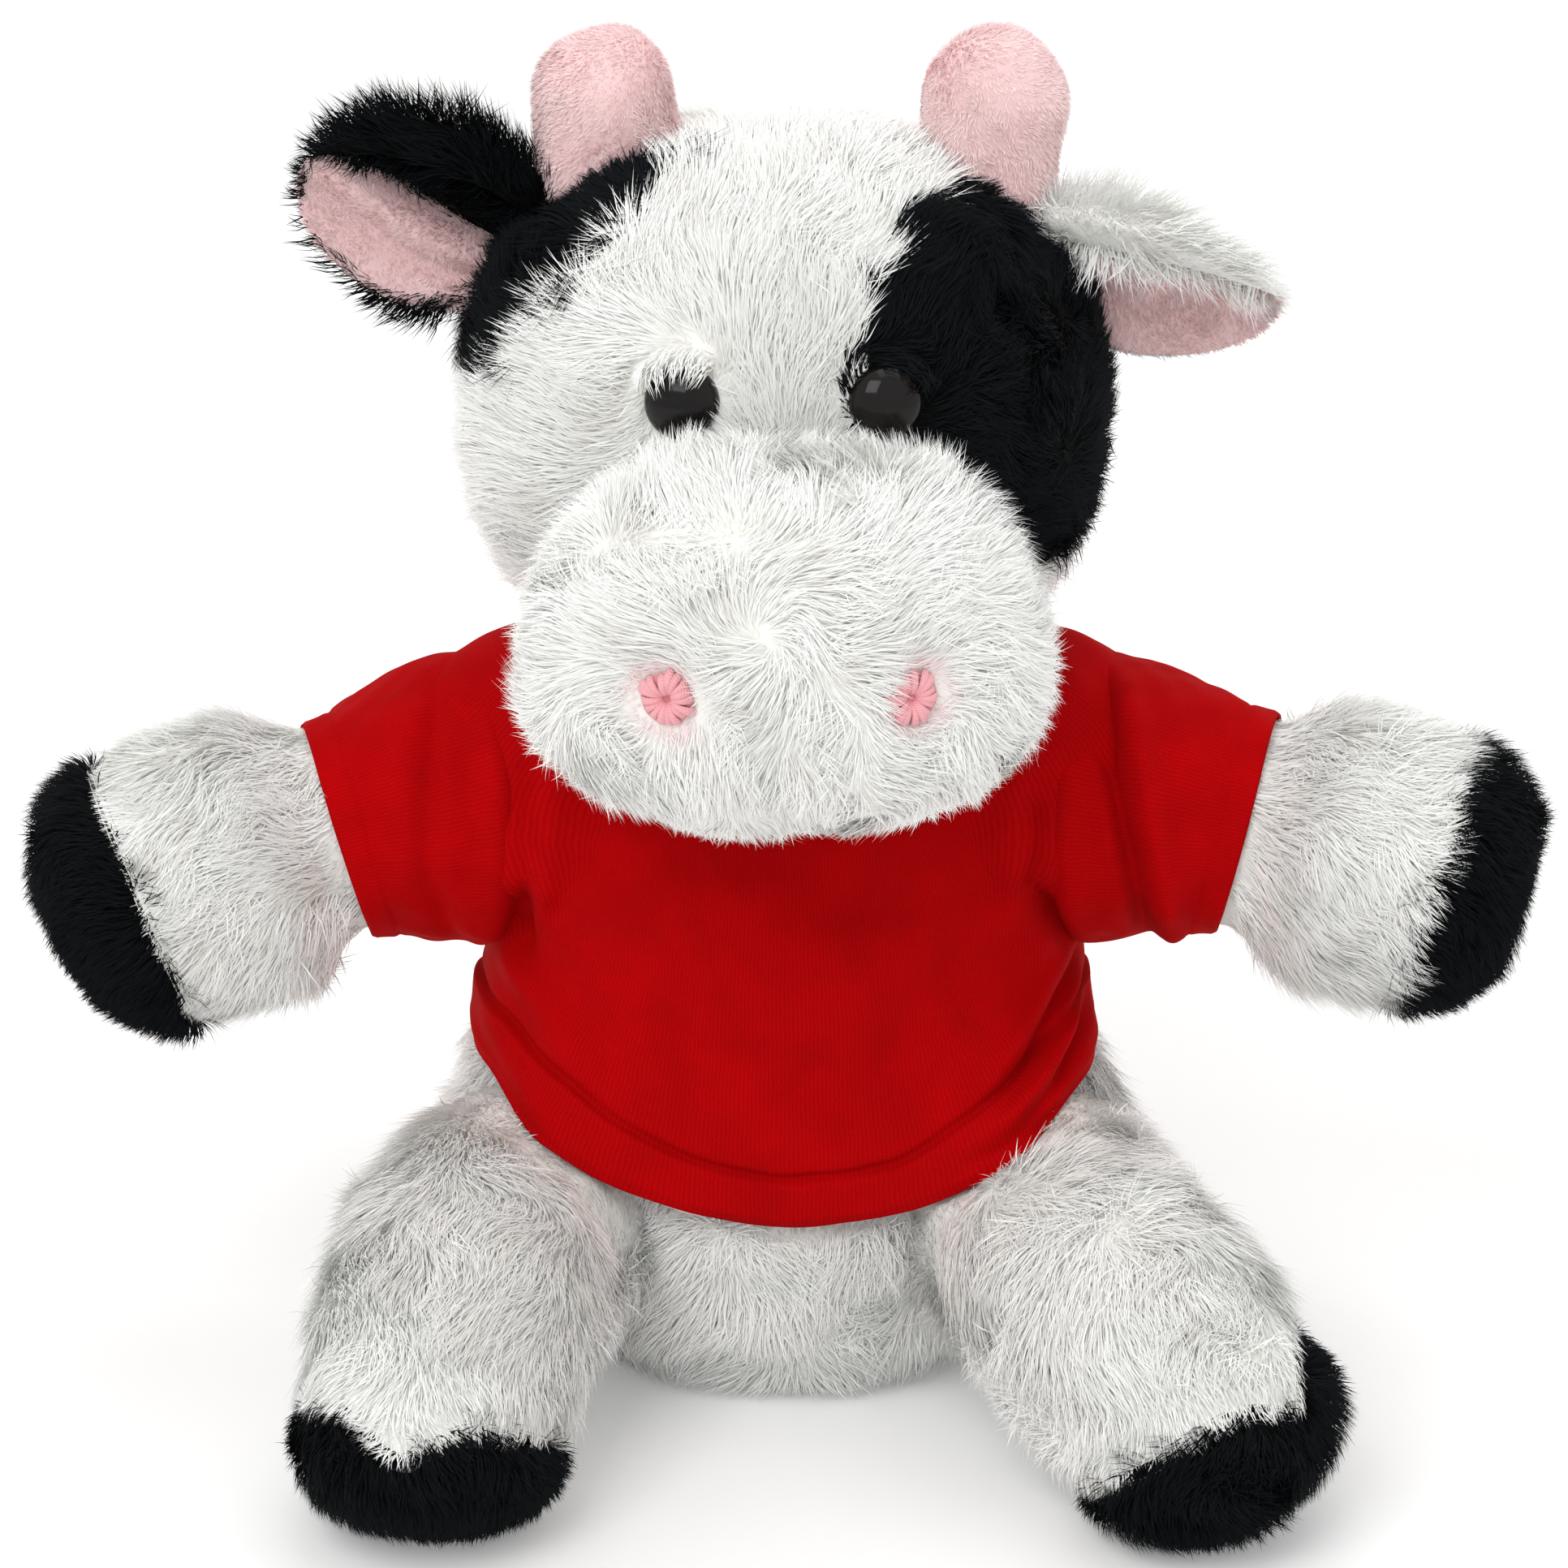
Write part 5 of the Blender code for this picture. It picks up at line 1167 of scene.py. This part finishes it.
# offset of the cloth from the body, its thickness; above splitHeight its rings climb to the collar
jersey = {"offset": 1.6, "thick": 1.1, "collarRise": 50.0, "splitHeight": 80.0, "flare": 26.0,
          "columns": 280, "lowerRows": 106, "upperRows": 58, "ribRadii": (1.4, 2.4),
          "hemLift": 0.9, "groove": 1.1}
folds = [
    # (x, z) from, (x, z) to, width, depth; a positive depth is a ridge
    ((-40, 109), (-41, 88), 1.6, -3.0), ((-41, 88), (-43, 76), 1.8, -4.2), ((-38, 104), (-39, 80), 2.6, 2.0),
    ((-43, 76), (-47, 82), 2.0, -3.4), ((-46, 72), (-40, 69), 2.6, 1.8), ((-42, 66), (-31, 62), 4.0, 0.8),
    ((40, 104), (39, 88), 1.5, -3.0), ((36.5, 104), (36, 84), 2.8, 1.6), ((39, 88), (47, 76), 1.8, -4.4),
    ((36, 82), (45, 71), 2.6, 2.0), ((49, 70), (34, 56), 1.4, -2.8), ((46, 73), (31, 58), 2.0, 1.8),
    ((50, 63), (38, 53), 1.3, -2.4), ((50, 67), (37, 55), 1.4, 1.6), ((47, 55), (29, 48), 1.6, -1.8),
    ((47, 59), (31, 52), 2.2, 1.2), ((-49, 55), (-35, 46), 2.4, 1.4), ((-50, 60), (-38, 51), 2.0, -1.2),
    ((0, 90), (-17, 73), 6.5, -1.3), ((-5, 77), (19, 60), 6.5, 1.3), ((4, 87), (24, 88), 3.5, -0.9),
    ((-24, 70), (6, 54), 6.0, -0.9),
]


def foldLift(points):
    # ridges and creases along straight lines seen from the front, each fading out at its ends
    lift = np.zeros(points.shape[:-1])
    flat = points[..., [0, 2]]
    for start, end, width, depth in folds:
        start, end = np.array(start, float), np.array(end, float)
        run = end - start
        share = np.clip(((flat - start) @ run) / (run @ run), 0, 1)
        gap = lengthOf(flat - start - share[..., None] * run)
        fade = 0.35 + 0.65 * np.sin(np.pi * share)
        lift += depth * np.exp(-(gap / width) ** 2) * fade
    return lift * ease(-points[..., 1], 2, 12)


def closeSeam(piece):
    piece.modifiers.new("closeSeam", "WELD").merge_threshold = 0.00001


def clothShell(name, rings, thick, width):
    # a tube of cloth with a wall: outer and inner faces joined at both rims; the map is in mm
    columns = rings.shape[1]
    seamed, normals = [np.concatenate([grid, grid[:, :1]], axis=1) for grid in (rings, gridNormals(rings))]
    loop = np.concatenate([seamed, (seamed - normals * thick)[::-1]])
    step = lengthOf(np.diff(seamed, axis=0))
    climb = np.concatenate([np.zeros((1, columns + 1)), np.cumsum(step, axis=0)])
    marks = np.stack(np.broadcast_arrays(width, climb), -1)
    last = (len(loop) - 1) * (columns + 1)
    start = np.arange(columns)
    closing = np.stack([start + last, start + 1 + last, start + 1, start], -1)
    quads = np.concatenate([gridQuads(len(loop), columns + 1, closed=False), closing])
    quads, _ = faceOut(loop.reshape(-1, 3), quads)
    piece = makePiece(name, loop.reshape(-1, 3), quads, None,
                      {"cloth": np.concatenate([marks, marks[::-1]]).reshape(-1, 2)})
    piece.data.materials.append(redJersey)
    closeSeam(piece)
    return piece


def runRound(row):
    # distances round a closed row of points, back to its start
    step = lengthOf(np.roll(row, -1, axis=0) - row)
    return np.concatenate([[0], np.cumsum(step)])


def makeJersey():
    columns, lower, upper = jersey["columns"], jersey["lowerRows"], jersey["upperRows"]
    turn = turns(columns)
    start = hemCurve(turn, 2)
    height = start + (jersey["splitHeight"] - start) * np.linspace(0, 1, lower)[:, None]
    height = np.concatenate([height, np.full((upper, columns), jersey["splitHeight"])])
    tilt = np.radians(np.linspace(0, jersey["collarRise"], upper + 1)[1:])[:, None]
    tilt = np.concatenate([np.zeros((lower, 1)), tilt]) + 0 * turn
    origins = np.stack([0 * height, 0 * height, height], -1)
    ways = np.stack([np.cos(tilt) * np.cos(turn), np.cos(tilt) * np.sin(turn), np.sin(tilt)], -1)
    rings = castOut(origins, ways, lambda points: bodyField(points, shoulderBalls), jersey["offset"])
    # below the belly's widest line the cloth hangs out over the thighs to the hem
    drop = rings[..., 2] - start
    reach = hemCurve(turn, 1) - lengthOf(rings[0, :, :2])
    fall = (1 - np.clip(drop / jersey["flare"], 0, 1)) ** 1.6
    rings[..., :2] += unit(rings[..., :2]) * (reach * fall)[..., None]
    lift = foldLift(rings) + 0.5 * waves(rings, 28, 91) + 0.25 * waves(rings, 11, 92)
    # the turned-up hem is thicker, and its stitching pulls a groove above it
    band = hem["band"] + 0.3 * waves(rings, 20, 93)
    lift = lift + jersey["hemLift"] * (1 - ease(drop, band - 0.5, band + 0.3))
    lift = lift - jersey["groove"] * np.exp(-((drop - band - 0.6) / 0.6) ** 2) - 1.0 * (1 - ease(drop, 0, 1.6))
    rings = rings + gridNormals(rings) * lift[..., None]
    rings[..., 2] = np.maximum(rings[..., 2], 2)
    width = runRound(rings[lower // 2])
    print("jersey body", round(width[-1]), "mm round")
    piece = clothShell("jerseyBody", rings, jersey["thick"], width)
    dress(piece, "red_jersey", "torso", "shirt_front", "shirt_back")

    # collar: a rib ring standing round the neck
    count = 14
    spot = rings[-1]
    out = unit((spot - spot.mean(axis=0)) * [1, 1, 0])
    section = turns(count)[:, None, None]
    thick, tall = jersey["ribRadii"]
    ring = spot - out * 0.6 + out * thick * np.cos(section)
    ring = ring + np.array([0, 0, 1.0]) * (tall * np.sin(section) + 0.4)
    points = np.pad(ring, ((0, 1), (0, 1), (0, 0)), mode="wrap").reshape(-1, 3)
    marks = np.broadcast_arrays(runRound(spot)[None, :], np.linspace(0, 12, count + 1)[:, None])
    quads, _ = faceOut(points, gridQuads(count + 1, columns + 1, closed=False))
    rib = makePiece("neckRib", points, quads, None, {"cloth": np.stack(marks, -1).reshape(-1, 2)})
    rib.data.materials.append(redRib)
    closeSeam(rib)
    dress(rib, "rib_knit", "torso", "shirt_neck_rib")


sleeve = {"thick": 0.8, "offset": 1.2, "start": 3, "columns": 150, "rows": 80, "blend": 16.0,
          "band": (4.0, 5.0), "stitch": 4.6, "hemLift": 0.2, "groove": 0.25}
# distance along the arm, slant, bow and depth of each sleeve's two creases, in mm
sleeveFolds = {"left": ((6.0, 4.0, 0.0, -2.2), (20.5, 7.5, 4.0, -3.4)),
               "right": ((22.0, 2.0, 6.0, -0.9), (6.5, 4.0, 0.0, -1.8))}


def makeSleeve(side):
    arm = arms[side]
    path, cuff = arm["path"], arm["cuff"]
    shoulder, start = armShape["root"], sleeve["start"]
    # the cuff is cut a little longer above than below
    rise = np.sin(turns(sleeve["columns"]))
    reach = cuff + 1.2 * rise - 1.0 * rise ** 2
    steps = start + (reach - start) * np.linspace(0, 1, sleeve["rows"])[:, None]
    stations = [(0, shoulder), (armShape["rootEnd"], shoulder), (cuff, armShape["waist"] + 0.7)]
    rings = around(path, steps, stationRadius(stations, steps) + sleeve["offset"], sleeve["columns"])
    # gathers in front that run from the neck to the armpit, and a turned-up cuff
    front = ease(-gridNormals(rings)[..., 1], 0.0, 0.7)
    lift = 0.45 * waves(rings, 20, 95 + sides[side]) + 0.2 * waves(rings, 8, 96)
    for middle, bend, low, depth in sleeveFolds[side]:
        away = steps - (middle - bend * rise - low * rise ** 2)
        lift = lift + front * depth * (np.exp(-(away / 1.8) ** 2) - 0.7 * np.exp(-((away - 4.4) / 2.8) ** 2))
    edge = reach - steps
    lift = lift + sleeve["hemLift"] * (1 - ease(edge, *sleeve["band"]))
    lift = lift - sleeve["groove"] * np.exp(-((edge - sleeve["stitch"]) / 0.5) ** 2)
    lift = lift - 0.4 * (1 - ease(edge, 0, 0.8))
    rings = rings + gridNormals(rings) * lift[..., None]
    width = np.linspace(0, 2 * np.pi * shoulder, sleeve["columns"] + 1)
    piece = clothShell(f"sleeve{side.capitalize()}Jersey", rings, sleeve["thick"], width)
    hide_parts(f"sleeve_{side}")
    # two points on the arm's middle, at its joint and a blend's length outward; nothing uses them
    near, far = path(np.array([0.0, sleeve["blend"]]))[0] * mm
    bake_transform(piece)


# Fittings inside

def dressWashers():
    # Locking washer: moulded polyethylene, natural milky white.
    plastic = mottle(*newMaterial("mouldedPolyethylene", 0.45, IOR=1.5), {"Scale": 400.0, "Detail": 3.0},
                     [(0.3, "#DEDEDC"), (0.7, "#ECECEA")])
    for side in sides:
        for slot in frame["nodes"][f"eye_washer_{side}"].material_slots:
            slot.material = plastic


makeTorso()
for side in sides:
    makeLeg(side)
    makeArm(side)
print("body and limbs done")
makeHead()
makeMuzzle()
makeEyes()
makeNostrils()
makeHorns()
for side in sides:
    makeEar(side)
makeTail()
print("head and tail done")
makeJersey()
for side in sides:
    makeSleeve(side)
dressWashers()
print("jersey done")


# Floor, light and camera

stage = {"floor": "#F2F2F1", "reach": 8.0, "worldStrength": 0.78, "lift": 0.2,
         "lamps": {"keyLight": ((-0.5, -1.1, 1.3), 0.9, 9.5), "topLight": ((0.3, 0.1, 1.6), 1.2, 5.0)},
         "aim": (0, 0, 0.09)}  # metres and watts; each lamp has its place, its size and its power


def makeStage():
    corners = [(x * stage["reach"], y * stage["reach"], 0) for x, y in ((-1, -1), (1, -1), (1, 1), (-1, 1))]
    mesh = bpy.data.meshes.new("floor")
    mesh.from_pydata(corners, [], [(0, 1, 2, 3)])
    floor = bpy.data.objects.new("floor", mesh)
    bpy.context.scene.collection.objects.link(floor)
    material, body = newMaterial("paleFloor", 0.9, Base_Color=shade(stage["floor"]), Specular_IOR_Level=0.1)
    floor.data.materials.append(material)
    world = bpy.data.worlds.new("softWhite")
    bpy.context.scene.world = world
    world.use_nodes = True
    # camera, glossy and transmission rays see white sky and a slightly lifted floor
    seen = {}
    for owner in (material, world):
        rays = addNode(owner, "LightPath")
        direct = addNode(owner, "Math", {"operation": "ADD"},
                         {0: rays.outputs["Is Camera Ray"], 1: rays.outputs["Is Glossy Ray"]})
        seen[owner.name] = addNode(owner, "Math", {"operation": "ADD", "use_clamp": True},
                                   {0: direct.outputs[0], 1: rays.outputs["Is Transmission Ray"]})
    lift = addNode(material, "Math", {"operation": "MULTIPLY", 1: stage["lift"]},
                   {0: seen[material.name].outputs[0]})
    feed(material, body, Emission_Strength=lift.outputs[0])
    body.inputs["Emission Color"].default_value = (1, 1, 1, 1)
    sky = world.node_tree.nodes["Background"]
    sky.inputs["Color"].default_value = (1, 1, 1, 1)
    sky.inputs["Strength"].default_value = stage["worldStrength"]
    white = addNode(world, "Background", {"Color": (1, 1, 1, 1), "Strength": 1.0})
    either = addNode(world, "MixShader", {},
                     {0: seen[world.name].outputs[0], 1: sky.outputs[0], 2: white.outputs[0]})
    feed(world, world.node_tree.nodes["World Output"], Surface=either.outputs[0])
    for name, (place, size, power) in stage["lamps"].items():
        lamp = bpy.data.lights.new(name, "AREA")
        lamp.size, lamp.energy = size, power
        light = bpy.data.objects.new(name, lamp)
        light.location = place
        aim = np.array(stage["aim"]) - np.array(place)
        light.rotation_euler = (np.arctan2(np.hypot(aim[0], aim[1]), -aim[2]), 0,
                                np.arctan2(aim[0], -aim[1]) + np.pi)
        bpy.context.scene.collection.objects.link(light)


def makeCamera():
    # 750 mm from the cow's middle, 20 degrees above it, straight in front
    view = {"target": np.array([0, 0, 95.0]), "distance": 750.0, "rise": 20.0, "across": 257.6}
    rise = np.radians(view["rise"])
    lens = bpy.data.cameras.new("photoCamera")
    lens.sensor_fit = "HORIZONTAL"
    lens.sensor_width = 36
    lens.lens = 36 * view["distance"] / view["across"]
    lens.clip_start, lens.clip_end = 0.01, 20
    camera = bpy.data.objects.new("photoCamera", lens)
    place = view["target"] + view["distance"] * np.array([0, -np.cos(rise), np.sin(rise)])
    camera.location = place * mm
    camera.rotation_euler = (np.pi / 2 - rise, 0, 0)
    bpy.context.scene.collection.objects.link(camera)
    bpy.context.scene.camera = camera
    bpy.context.scene.view_settings.view_transform = "Standard"


makeStage()
makeCamera()
print("all set")
